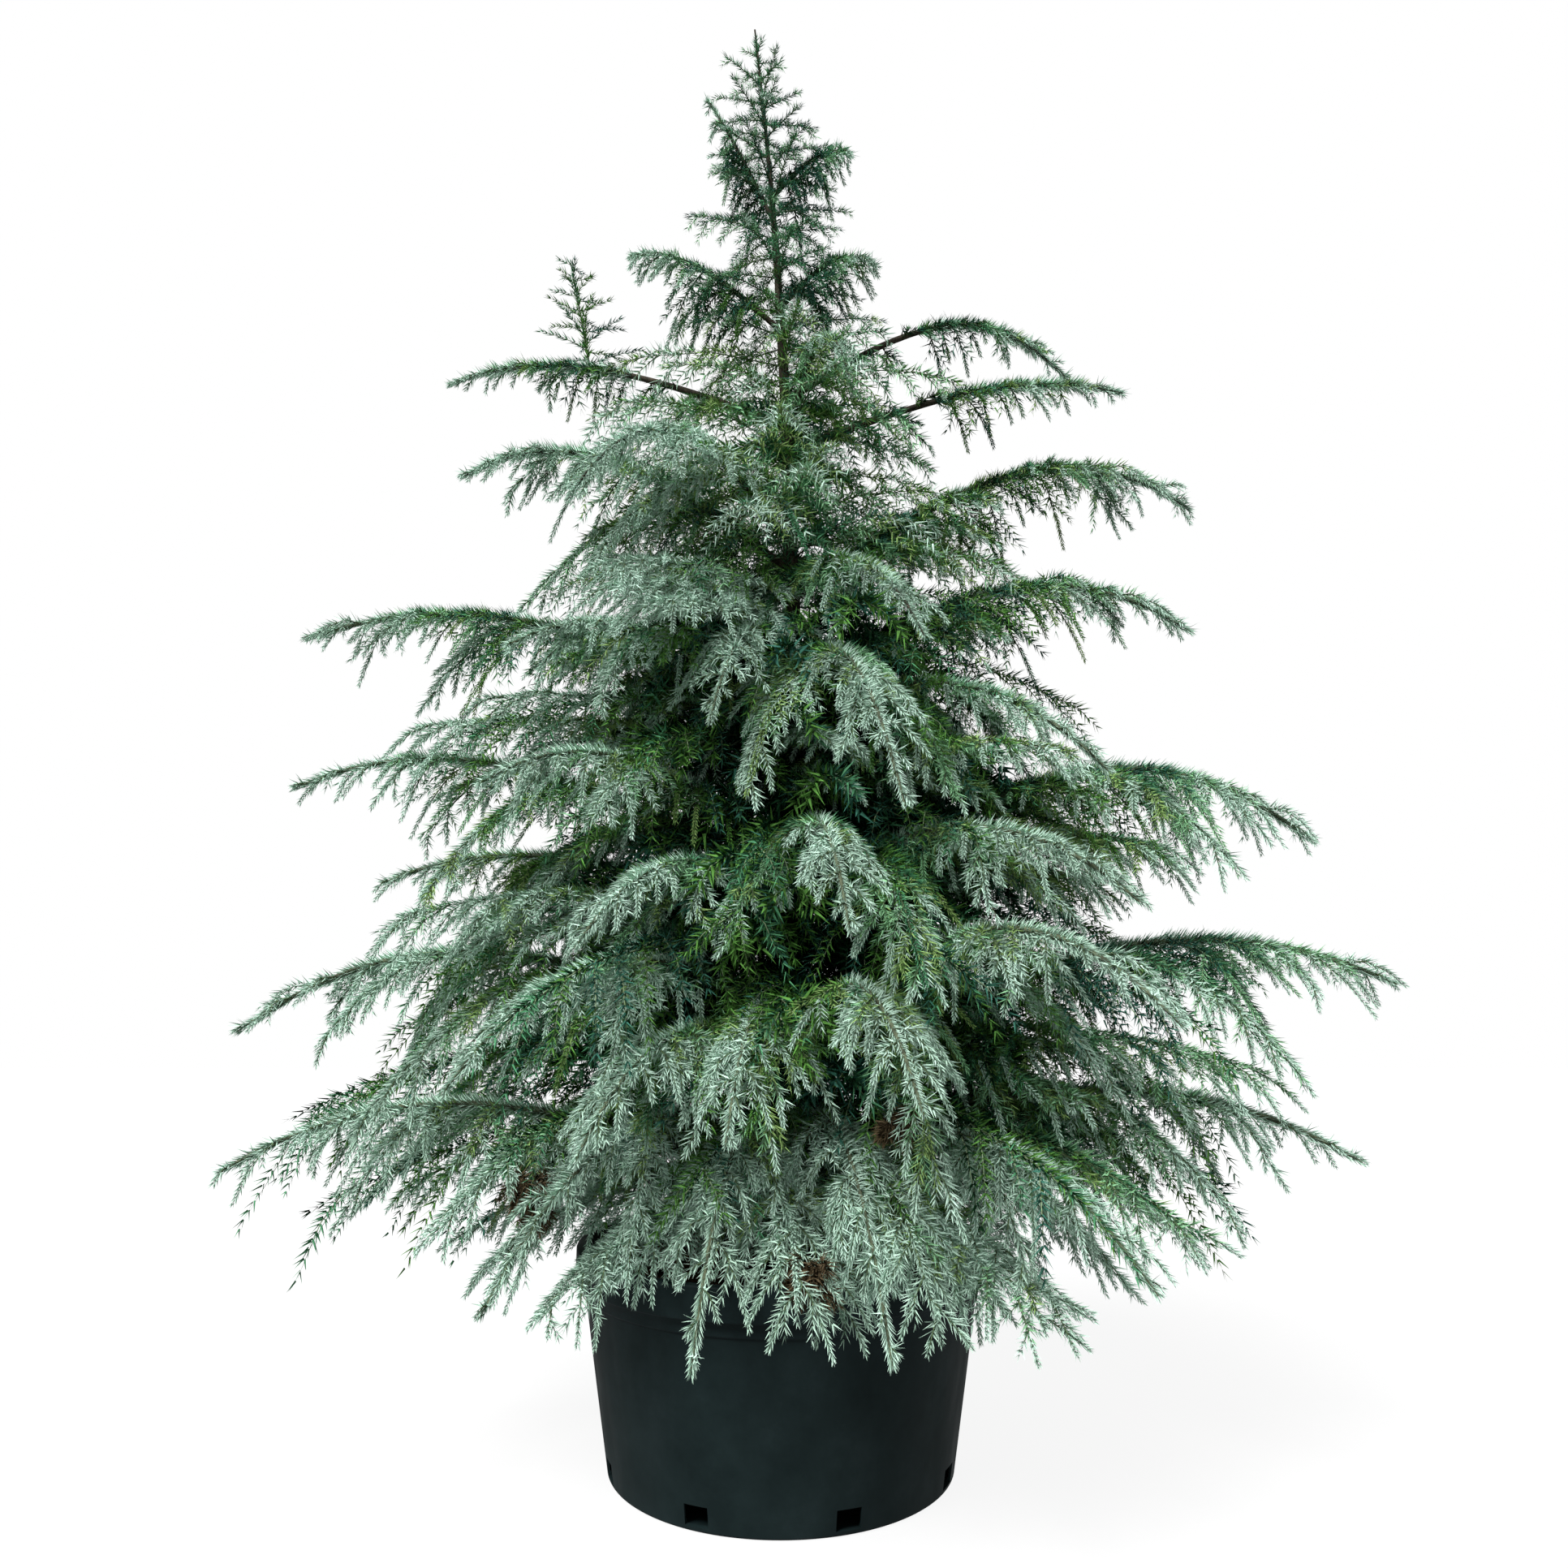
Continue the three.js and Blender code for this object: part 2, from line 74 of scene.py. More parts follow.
# Compost, in millimetres. Its lumps are given by fineness and height, and its skirt is the edge
# that goes down inside the pot. A chip's half sides are a least size and what chance adds
SOIL_TOP = 244
SOIL_GAP = 2
SOIL_SEGMENTS = 96
SOIL_RINGS = 26
SOIL_SINK = 6
SOIL_LUMPS = [(28, 5), (90, 2.5)]
SOIL_SKIRT = {"share": 0.94, "depth": 40}
CHIPS = {"count": 900, "edge": 12, "trunk_gap": 8, "sink": 4.0, "long": (5, 7), "wide": (3, 3),
         "thick": 1.6, "corner": (0.75, 0.5), "tilt": 0.35}

# Trunk
TRUNK_TOP = 2150
TRUNK_LEAN = -44
TRUNK_BOW = 20
TRUNK_SWAY = 9
TRUNK_RADIUS = 23
TRUNK_TIP_RADIUS = 1.6
TRUNK_TAPER = 1.2
FLARE = {"radius": 11, "height": 32}
TRUNK_SIDES = 28
TRUNK_RINGS = 190
TRUNK_CROWDING = 1.15
TRUNK_GAP = {"foot": 0.3, "tip": 0.5}

# The bark's ridges on the trunk and on the limbs, in metres, and how much longer than wide they
# are. Finer ones lie over them
TRUNK_RIDGES = {"height": 0.0011, "spacing": 0.011}
LIMB_RIDGES = {"height": 0.0006, "spacing": 0.006}
RIDGE_STRETCH = 4
FINER_RIDGES = {"fineness": 2.3, "share": 0.5}

# Limbs, in tiers from the rim of the pot up to the leader. Each row is the heading of the
# limb's tip, its reach from the pot's axis, the height of its tip, and how far its middle
# arches above the straight line from root to tip. A tier also has the zone whose pieces its
# foliage joins, the height of its lowest root, how silvery its shoots are (bloom), how thickly
# its limbs are clothed, and the size of their twigs (fan).
TIERS = [
    {
        "name": "skirt", "zone": "lower", "root": 335, "bloom": 0.66, "clothed": 1, "fan": 1,
        "boughs": [],
        "sprigs": [[200, 690, 390, 92], [345, 720, 395, 88], [225, 450, 255, 110],
                   [257, 395, 220, 148], [286, 405, 228, 140], [314, 545, 295, 120],
                   [28, 620, 360, 80], [82, 540, 310, 85], [138, 590, 350, 80]],
    },
    {
        "name": "low", "zone": "lower", "root": 480, "bloom": 0.66, "clothed": 1, "fan": 1,
        "boughs": [[351, 800, 605, 105]],
        "sprigs": [[190, 705, 545, 115], [229, 530, 490, 112], [244, 470, 425, 95],
                   [262, 400, 440, 95], [285, 520, 480, 125], [312, 600, 560, 125],
                   [52, 610, 530, 80], [110, 580, 520, 80]],
    },
    {
        "name": "middle", "zone": "middle", "root": 700, "bloom": 0.60, "clothed": 1, "fan": 1,
        "boughs": [[350, 710, 790, 145]],
        "sprigs": [[194, 650, 855, 90], [222, 470, 830, 80], [240, 440, 640, 80],
                   [279, 450, 655, 98], [172, 600, 755, 60], [316, 540, 690, 85],
                   [66, 510, 770, 70], [122, 500, 760, 70]],
    },
    {
        "name": "upper", "zone": "middle", "root": 1000, "bloom": 0.58, "clothed": 1, "fan": 1,
        "boughs": [[186, 670, 1085, 75], [350, 575, 1085, 100]],
        "sprigs": [[256, 340, 900, 85], [215, 420, 1020, 60], [288, 430, 790, 105],
                   [328, 470, 860, 80], [44, 450, 1000, 60], [128, 460, 1000, 60]],
    },
    {
        "name": "high", "zone": "top", "root": 1170, "bloom": 0.6, "clothed": 1, "fan": 1,
        "boughs": [[0, 615, 1310, 120]],
        "sprigs": [[203, 465, 1275, 90], [234, 430, 1165, 130], [302, 330, 1020, 70],
                   [92, 380, 1270, 50]],
    },
    {
        "name": "crown", "zone": "top", "root": 1400, "bloom": 0.56, "clothed": 0.35, "fan": 0.6,
        "boughs": [[355, 512, 1475, 45], [177, 520, 1530, 58], [10, 480, 1560, 118]],
        "sprigs": [[292, 240, 1400, 100], [84, 290, 1480, 40]],
    },
    {
        "name": "leader", "zone": "top", "root": 1600, "bloom": 0.52, "clothed": 1, "fan": 1,
        "boughs": [],
        "sprigs": [[190, 235, 1705, 40], [345, 150, 1690, 40]],
    },
    {
        "name": "tip", "zone": "top", "root": 1790, "bloom": 0.42, "clothed": 1, "fan": 1,
        "boughs": [],
        "sprigs": [[178, 120, 2020, 10], [2, 110, 1920, 30]],
    },
]
ZONES = ["lower", "middle", "top"]

# The roots of a tier's limbs are staggered by steps, in cycles
ROOT_STEP = 21
ROOT_CYCLE = 5
ROOT_STRIDE = 2

# How much paler the limbs that face the front are painted, a painted light, and how much paler the
# sprays on the lit side and darker those on the far side are painted, a painted light and shade
FRONT_HEADING = 262
FRONT_PAINTED_LIGHT = 0.1
LIT_HEADING = 200
LIT_SIDE_PAINTED_LIGHT = 0.08
BLOOM_SCATTER = 0.12

# Boughs and stems. Places on a limb are shares of its length: its foot inside the trunk, the
# joint where a bough ends and its stem goes on, where the twigs start, and the fine end
LIMB_FOOT = 0.015
BOUGH_JOINT = 0.42
JOINT_MARGIN = 0.03
SPRIG_START = 0.14
FINE_END = {"from": 0.98, "radius": 0.72}
BOUGH_ROOT_RADIUS = 3.2
BOUGH_STOUTNESS = 0.0062
LIMB_TIP_SHARE = 0.3
LIMB_SIDES = 9
LIMB_RINGS = 22
LEAST_RINGS = 6
ARCH_RISE = {"foot": 0.6, "lead": 0.7}

# Twigs on limbs, by the source's rule
FAN_SHARE = 0.22
FAN_LEAST = 75
FAN_MOST_SHARE = 0.75
FAN_TAPER = 0.78
TWIG_SLOTS = 24
TWIG_SPREAD = {"root": 66, "tip": 38, "scatter": 12}
TWIG_DROP = {"root": 1.0, "tip": 0.95, "scatter": 0.4}
TWIG_LENGTH = {"least": 0.8, "scatter": 0.4}
TWIG_RADIUS = 1.5

# The solids have a twig in every fifth slot of a bough or a long sprig, and in every ninth of a
# short one. The slots between have shorter twigs, here alone. All taper off at the limb's tip
LONG_REACH = 455
SLOTS_PER_LONG_TWIG = 5
SLOTS_PER_SHORT_TWIG = 9
BETWEEN_SHARE = {"least": 0.55, "scatter": 0.4}
BETWEEN_RISE = {"share": 0.2, "level": 0.4}
END_TAPER = {"last": 0.12, "least": 0.5}

# Twigs on the inner part of a bough, by how well its tier is clothed
INNER_TWIGS = {"count": 14, "first": 0.1, "length": 190, "size": (0.6, 0.7), "spread": 48,
               "rise": 0.5, "level": 0.3, "drop": 0.5, "outer": 0.2}

# A limb's shoots keep within its reach and its own sector, apart from those near the trunk
SECTOR_HALF_ANGLE = 60
SECTOR_FREE_RADIUS = 240
REACH_SLACK = 0.04

# The upright second leader that stands on the left bough of the crown
SECOND_LEADER = {"tier": "crown", "bough": 1, "place": 0.58, "height": 185, "lean": -35,
                 "stoutness": 1.4, "outer": 0.5, "bloom": 0.3}
LEADER_TWIGS = {"count": 26, "length": (84, 18), "rise": 0.5, "drop": 0.2, "outer": 0.55,
                "bloom": 0.36}

# The top of the trunk, in short lengths that bear needles
LEADER = {"from": 1500, "short": 14, "pieces": 29, "outer": 0.5, "bloom": 0.3}

# Side branches of a limb, which fill the room under it and have tips of their own, and how low
# those tips may hang for the height of the limb's own tip
LATERALS = {"spacing": 104, "margin": 0.02, "last": 0.84, "share": (0.78, 0.56),
            "scatter": 0.3, "spread": (34, 42, 16), "climb": 0.55, "drop": (0.85, 0.8),
            "sag": 0.4, "stoutness": 0.55}
LOWEST_TIP = {"share": 0.8, "least": 235, "most": 300}

# The twigs on side branches, and the fine shoots on every twig: how far apart they are, their
# share of what they grow on, how they taper to its tip, their angles and their lengths
LATERAL_TWIGS = {"spacing": 21, "share": 0.34, "taper": 0.6, "spread": (58, 36), "scatter": 20,
                 "droop": (0.3, 0.5), "least": 30, "most": 130, "radius": 1.3, "last": 0.97}
FINE_SHOOTS = {"spacing": 19, "share": 0.42, "taper": 0.7, "spread": (54, 34), "scatter": 22,
               "droop": (0.1, 0.6), "least": 18, "most": 66, "radius": 0.8, "last": 0.6}
BODY_TWIGS = {"spacing": 22, "share": 0.36, "taper": 0.62, "spread": (56, 36), "scatter": 26,
              "droop": (0.4, 0.6), "least": 18, "most": 130, "radius": 1.0, "last": 0.95}

# On all of them: where the first stands, how each strays from its place, how its size varies,
# how far it follows the slope of what it grows on, how it rises or falls off that slope by
# chance, and how much further out it counts as
BRANCH = {"first": 0.08, "stray": (0.3, 0.4), "size": (0.7, 0.6), "follow": 0.85, "rise": 0.25,
          "level": 0.4, "outward": 0.55}
FINE_RADIUS = 0.8

# A shorter twig than this bears no shoots, and a shorter shoot than this is one straight tube
BARE_TWIG = 44
BENT_SHOOT = 45

# The rings of a tube, by their places along it and their shares of its radius
TUBES = {"twig": ((0, 0.4, 0.75), (1, 0.7, 0.45)), "bent": ((0, 0.5), (1, 0.7)),
         "straight": ((0,), (1,))}

# What across and above are taken from. It is a little off upright, so that they are also found
# for a shoot that stands straight up
NEARLY_UP = [0.02, 0.01, 1.0]

# No shoot hangs lower than this, and beyond a reach that limit, the skirt's foot, rises outwards.
# A shoot without that room keeps a least share of its drop. The margin is kept off the pot's lip
LOWEST_NEEDLE = 202
SKIRT_FOOT = {"from": 340, "rise": 0.48, "least": 0.08}
POT_MARGIN = 6

# Where on a twig its pale finger starts. A limb's ridge bears needles in straight lengths, from
# near the trunk where it is well clothed, and the last lengths have finer ones. A limb of small
# reach has the leader's needles on its ridge
FINGER_START = 0.66
RIDGE_START = 0.08
RIDGE_PIECES = 10
THIN_PIECES = 2
WELL_CLOTHED = 0.8
SMALL_LIMB = 250

# How far some limbs' twigs and side branches hang, as a share of what the rule gives. They are
# shorter too, by half as much
HANG = {"skirt_1": 0.85, "skirt_2": 0.8, "low_1": 0.75, "low_2": 0.9, "low_3": 0.85,
        "low_4": 0.85, "low_6": 0.8, "low_7": 0.85, "middle_1": 0.92, "middle_2": 0.85,
        "middle_4": 0.75, "middle_5": 0.75, "middle_7": 0.8, "upper_1": 0.7, "upper_2": 0.6,
        "upper_3": 0.75, "upper_5": 0.8, "high_1": 0.6, "crown_1": 0.65, "crown_2": 0.6,
        "crown_3": 0.55}

# Needles, larger than life as far as their count needs
FINGER_NEEDLES = {"length": 8, "width": 2.0, "tilt": 28, "per_mm": 0.74, "cluster": 1}
TIP_NEEDLES = {"length": 13, "width": 2.0, "tilt": 33, "per_mm": 0.36, "cluster": 2}
SHADED_NEEDLES = {"length": 18, "width": 2.4, "tilt": 44, "per_mm": 0.2, "cluster": 2}
DEAD_NEEDLES = {"length": 15, "width": 2.2, "tilt": 44, "per_mm": 0.9, "cluster": 2}
CORE_NEEDLES = {"length": 27, "width": 4.6, "tilt": 50, "per_mm": 0.22, "cluster": 1}
LEADER_NEEDLES = {"length": 11, "width": 1.5, "tilt": 46, "per_mm": 0.6, "cluster": 2}
TWIG_NEEDLES = {"length": 15, "width": 2.1, "tilt": 40, "per_mm": 0.37, "cluster": 2}
LIMB_NEEDLES = {"length": 17, "width": 2.2, "tilt": 54, "per_mm": 1.6, "cluster": 5}
TIP_RIDGE_NEEDLES = {"length": 12, "width": 1.9, "tilt": 30, "per_mm": 1.2, "cluster": 2}
BODY_NEEDLES = {"length": 17, "width": 2.4, "tilt": 44, "per_mm": 0.24, "cluster": 2}
SHADED_OUTER = 0.5
PAIR_ANGLE = 34
NEEDLE_END_TILT = 20
GOLDEN_TURN = 137.5

# Of every pair: how it strays within its tuft and round its shoot, how far it turns up, how its
# size varies and tapers to the shoot's tip, how far out its foot is, and how far the second parts
NEEDLE = {"tuft": (0.35, 0.3), "stray": 50, "lift": 0.12, "size": (0.75, 0.5), "taper": 0.3,
          "foot": 0.6, "second": 0.9}

# How silvery the needles are on each part of a limb, beyond the limb's own bloom, and how much
# paler or darker than their tier some limbs are painted: partly their own bloom, and partly painted
# light on limbs where the light falls more and painted shade on limbs where it falls less
LIFT = {"finger": 0.38, "fine": 0.03, "twig": 0.0, "limb": 0.36, "body": 0.02}
BLOOM_AND_PAINTED_LIGHT_BY_LIMB = {"high_3": 0.26, "high_2": 0.06, "upper_1": 0.06, "upper_4": 0.1,
                 "skirt_1": 0.12, "skirt_3": 0.24, "skirt_4": 0.16, "skirt_5": 0.2,
                 "skirt_6": 0.2, "low_1": -0.12, "low_2": 0.14, "low_3": 0.14, "low_5": -0.16,
                 "low_6": -0.16, "low_7": -0.06, "middle_2": -0.06, "middle_3": 0.06,
                 "middle_4": -0.02, "middle_5": -0.04, "upper_3": 0.06, "upper_5": 0.06}

# Where more of the shoots are a fresh green, seen from the front: x, height and radius
FRESH_PATCHES = [(-186, 1194, 130), (-44, 1540, 90), (-30, 1333, 80), (-108, 418, 90),
                 (120, 383, 80), (275, 1349, 100), (-408, 807, 120), (373, 807, 110),
                 (-194, 918, 110), (-20, 352, 90), (-215, 345, 80), (215, 350, 80)]
FRESH_SHARE = 0.5

# Beyond this reach, or above this height, fewer are green, and ever fewer over the depth or rise
COOL = {"from": 360, "depth": 260, "height": 1500, "rise": 300, "share": 0.6}

# A shoot's score is its bloom and its lift, more of it far out, and some chance, so that shoots
# further in take darker tones, partly their own colour and partly painted shade. It sets the tone
# from each step up, or the greener one where the shoot's greenness is over a limit. Frost has no
# greener one, shade is below the first step and is a near-black green that paints the shade inside
# the crown, and brown is dead
SCORE = {"outward": 1.3, "middle": 0.6, "chance": 0.24}
TONE_STEPS = [(0.12, "blue", 0.42, "green"), (0.34, "mid", 0.5, "green"),
              (0.54, "pale", 0.56, "fresh"), (0.74, "frost", 1, "frost")]
TONES = {
    "frost": "#CBEDD8",
    "pale": "#92C998",
    "fresh": "#9CC074",
    "mid": "#54946A",
    "blue": "#3D7463",
    "green": "#5E9444",
    "shade": "#113A1F",
    "brown": "#5C4F3A",
}

# What sets one kind of growth's chances apart from another's
SALTS = {"side_twigs": 71, "fine": 31, "spray_twigs": 81, "spray_fine": 91, "body": 61,
         "clothed_rows": 49, "clothed_step": 20, "trunk_rows": 50}


def scatter(a, b, c):
    """A repeatable number from 0 to 1 for the growth rule."""
    value = np.sin(a * 12.9898 + b * 78.233 + c * 37.719) * 43758.5453
    return value - np.floor(value)


def mix(a, b, share):
    """The value between a and b at a share from 0 to 1."""
    return a + (b - a) * share


def level(heading):
    """Level unit vectors with these headings."""
    turn = np.radians(np.asarray(heading, float))
    return np.stack([np.cos(turn), np.sin(turn), np.zeros_like(turn)], axis=-1)


def unit(vectors):
    """Vectors scaled to a length of 1."""
    return vectors / np.maximum(np.linalg.norm(vectors, axis=-1, keepdims=True), 1e-9)


# The lines that the plant grows along


def trunk_axis(height):
    """The trunk's centre at these heights."""
    height = np.asarray(height, float)
    u = (height - SOIL_TOP) / (TRUNK_TOP - SOIL_TOP)
    x = TRUNK_LEAN * u ** 3 + TRUNK_BOW * np.sin(np.pi * u)
    y = TRUNK_SWAY * np.sin(2 * np.pi * u)
    return np.stack([x, y, height], axis=-1)


def trunk_radius(height):
    """The trunk's radius at these heights."""
    height = np.asarray(height, float)
    u = (height - SOIL_TOP) / (TRUNK_TOP - SOIL_TOP)
    flare = FLARE["radius"] * np.exp((SOIL_TOP - height) / FLARE["height"])
    return TRUNK_RADIUS * np.maximum(1 - u, 0) ** TRUNK_TAPER + TRUNK_TIP_RADIUS + flare


class Limb:
    """A bough or a sprig's stem: one arching, tapering limb."""

    def __init__(self, tier, row, index, seed):
        self.heading, self.reach, self.tip, self.arch = row
        self.label = f"{tier['name']}_{index + 1}"
        self.zone = tier["zone"]
        self.is_bough = index < len(tier["boughs"])
        self.joint = BOUGH_JOINT if self.is_bough else 0
        self.start = self.joint + JOINT_MARGIN if self.is_bough else SPRIG_START
        self.root = tier["root"] + ROOT_STEP * ((index * ROOT_STRIDE) % ROOT_CYCLE)
        self.seed = seed
        self.has_leader = (tier["name"], index) == (SECOND_LEADER["tier"], SECOND_LEADER["bough"])
        # Painted light: limbs that face the front are paler
        facing = max(0.0, math.cos(math.radians(self.heading - FRONT_HEADING)))
        # Some limbs are paler or darker, partly by their own bloom and partly by painted light and
        # shade
        self.bloom = tier["bloom"] + FRONT_PAINTED_LIGHT * facing + BLOOM_AND_PAINTED_LIGHT_BY_LIMB.get(self.label, 0)
        self.clothed = tier["clothed"]
        fan = min(FAN_LEAST + FAN_SHARE * self.reach, FAN_MOST_SHARE * self.reach)
        self.fan_size = tier["fan"]
        self.fan = fan * self.fan_size

    def point(self, s):
        """Points on the limb, from its root on the trunk's axis at 0 to its tip at 1."""
        s = np.asarray(s, float)[..., None]
        foot = trunk_axis(self.root) * [1, 1, 0]
        points = level(self.heading) * self.reach * s + foot * (1 - s)
        arch = 4 * self.arch * s * (1 - s) * (ARCH_RISE["foot"] + ARCH_RISE["lead"] * s)
        height = mix(self.root, self.tip, s) + arch
        return points + np.array([0, 0, 1.0]) * height

    def slope(self, s):
        """How steeply the limb climbs or falls at these shares of its length."""
        foot, lead = ARCH_RISE["foot"], ARCH_RISE["lead"]
        arch = 4 * self.arch * (foot + 2 * (lead - foot) * s - 3 * lead * s * s)
        return (self.tip - self.root + arch) / self.reach

    def radius(self, s):
        """The limb's radius, which tapers from its root to its tip."""
        root = BOUGH_ROOT_RADIUS + BOUGH_STOUTNESS * self.reach
        return root * mix(1, LIMB_TIP_SHARE, s)


def list_limbs():
    """The limbs of every tier, with the source's roots and seeds."""
    limbs = []
    for tier in TIERS:
        for index, row in enumerate(tier["boughs"] + tier["sprigs"]):
            limbs.append(Limb(tier, row, index, len(limbs) + 1))
    return limbs


class Shoots:
    """Many shoots at once. Each runs level along its heading, with a rise, and then falls.

    Outer says how far out on the plant a shoot is, from 0 to 1, and bloom how pale its needles are:
    mostly their silvery wax, with painted light and painted shade added on some limbs and sprays.
    """

    FIELDS = ("start", "heading", "length", "rise", "drop", "radius", "outer", "bloom", "seed")

    def __init__(self, **fields):
        count = len(fields["start"])
        for name in self.FIELDS:
            value = np.asarray(fields[name], float)
            setattr(self, name, np.broadcast_to(value, (count, 3) if name == "start" else count))

    def __len__(self):
        return len(self.start)

    def take(self, picks):
        """Some of the shoots, by index or by a mask."""
        return Shoots(**{name: getattr(self, name)[picks] for name in self.FIELDS})

    def point(self, t):
        """A point on each shoot, at a share of its length."""
        points = self.start + level(self.heading) * (self.length * t)[:, None]
        points[:, 2] += self.rise * t - self.drop * t * t
        return points

    def along(self, t):
        """The direction of each shoot at a share of its length."""
        slope = level(self.heading) * self.length[:, None]
        slope[:, 2] += self.rise - 2 * self.drop * t
        return unit(slope)

    def between(self, first, last):
        """The stretch of each shoot between two shares of its length, as shoots."""
        span = last - first
        part = self.take(np.arange(len(self)))
        part.start = self.point(np.full(len(self), first))
        part.length = self.length * span
        part.rise = (self.rise - 2 * self.drop * first) * span
        part.drop = self.drop * span * span
        return part

    def true_length(self):
        """About how long each shoot is along its bend."""
        return np.hypot(self.length, np.abs(self.rise - self.drop))


def join(parts):
    """Several groups of shoots as one."""
    parts = [part for part in parts if len(part)]
    return Shoots(**{name: np.concatenate([getattr(part, name) for part in parts])
                     for name in Shoots.FIELDS})


def twigs_of(limb):
    """The twigs in a limb's slots, as in the source."""
    slot = np.arange(TWIG_SLOTS)
    u = (slot + 0.5) / TWIG_SLOTS
    side = np.where(slot % 2, 1, -1)
    jitter = TWIG_SPREAD["scatter"] * (scatter(limb.seed, slot, 1) * 2 - 1)
    spread = mix(TWIG_SPREAD["root"], TWIG_SPREAD["tip"], u) + jitter
    sway = TWIG_DROP["scatter"] * (scatter(limb.seed, slot, 3) - 0.5)
    size = TWIG_LENGTH["least"] + TWIG_LENGTH["scatter"] * scatter(limb.seed, slot, 2)
    length = limb.fan * (1 - FAN_TAPER * u) * size
    return Shoots(
        start=limb.point(mix(limb.start, 1, u)),
        heading=limb.heading + side * spread,
        length=length,
        rise=0,
        drop=length * (mix(TWIG_DROP["root"], TWIG_DROP["tip"], u) + sway),
        radius=TWIG_RADIUS,
        outer=u,
        bloom=limb.bloom,
        seed=limb.seed + slot / TWIG_SLOTS,
    )


def is_main_slot(limb):
    """Which slots hold a twig in the solids too."""
    is_long = limb.is_bough or limb.reach > LONG_REACH
    stride = SLOTS_PER_LONG_TWIG if is_long else SLOTS_PER_SHORT_TWIG
    return np.arange(TWIG_SLOTS) % stride == 1


def vary_twigs(limb, twigs):
    """Shorter twigs between the main ones, some of which rise over the limb."""
    main = is_main_slot(limb)
    share = BETWEEN_SHARE["least"] + BETWEEN_SHARE["scatter"] * scatter(twigs.seed, 3, 17)
    end = np.clip((1 - twigs.outer) / END_TAPER["last"], END_TAPER["least"], 1)
    size = np.where(main, 1, share) * end
    rise = BETWEEN_RISE["share"] * (2 * scatter(twigs.seed, 4, 18) - BETWEEN_RISE["level"])
    lift = np.where(main, 0, rise)
    return Shoots(
        start=twigs.start, heading=twigs.heading, length=twigs.length * size,
        rise=twigs.length * size * lift, drop=twigs.drop * size, radius=twigs.radius,
        outer=twigs.outer, bloom=twigs.bloom, seed=twigs.seed,
    )


def inner_twigs(limb):
    """Twigs on the part of a bough that is a solid of its own."""
    count = round(INNER_TWIGS["count"] * limb.clothed)
    index = np.arange(count)
    least, spare = INNER_TWIGS["size"]
    size = least + spare * scatter(limb.seed, index, 41)
    length = INNER_TWIGS["length"] * limb.clothed * size
    lift = scatter(limb.seed, index, 42) - INNER_TWIGS["level"]
    return Shoots(
        start=limb.point(mix(INNER_TWIGS["first"], limb.joint, (index + 0.5) / max(count, 1))),
        heading=limb.heading + np.where(index % 2, 1, -1) * INNER_TWIGS["spread"],
        length=length,
        rise=length * INNER_TWIGS["rise"] * lift,
        drop=length * INNER_TWIGS["drop"],
        radius=TWIG_RADIUS,
        outer=INNER_TWIGS["outer"],
        bloom=limb.bloom,
        seed=limb.seed + 0.31 + index * 0.029,
    )


def inside_space(limb, shoots):
    """Which shoots stay in their limb's own sector and within its reach, as in the source."""
    keep = np.ones(len(shoots), bool)
    for t in (0.35, 0.7, 1.0):
        points = shoots.point(np.full(len(shoots), t))
        reach = np.hypot(points[:, 0], points[:, 1])
        turn = np.degrees(np.arctan2(points[:, 1], points[:, 0])) - limb.heading
        off = np.abs((turn + 180) % 360 - 180)
        keep &= (reach < SECTOR_FREE_RADIUS) | (off < SECTOR_HALF_ANGLE)
        keep &= reach < limb.reach * (1 + REACH_SLACK)
    return keep


def clear_of_pot(shoots, lowest=LOWEST_NEEDLE):
    """Which shoots stay out of the pot and its soil, and don't hang too far down beside it."""
    keep = np.ones(len(shoots), bool)
    widest, top = POT_LIP["radius"] + POT_MARGIN, POT_LIP["top"] + POT_MARGIN
    for t in np.linspace(0.1, 1, 7):
        points = shoots.point(np.full(len(shoots), t))
        reach = np.hypot(points[:, 0], points[:, 1])
        in_pot = (reach < widest) & (points[:, 2] < top)
        keep &= ~in_pot & (points[:, 2] > lowest)
    return keep


def lift_off_ground(shoots):
    """Bends up shoots that would hang lower than the skirt's foot, which rises outwards."""
    tip = shoots.point(np.ones(len(shoots)))
    reach = np.hypot(tip[:, 0], tip[:, 1])
    foot = LOWEST_NEEDLE + SKIRT_FOOT["rise"] * np.maximum(reach - SKIRT_FOOT["from"], 0)
    room = shoots.start[:, 2] + shoots.rise - foot
    bent = shoots.take(np.arange(len(shoots)))
    bent.drop = np.minimum(shoots.drop, np.maximum(room, SKIRT_FOOT["least"] * shoots.drop))
    return bent


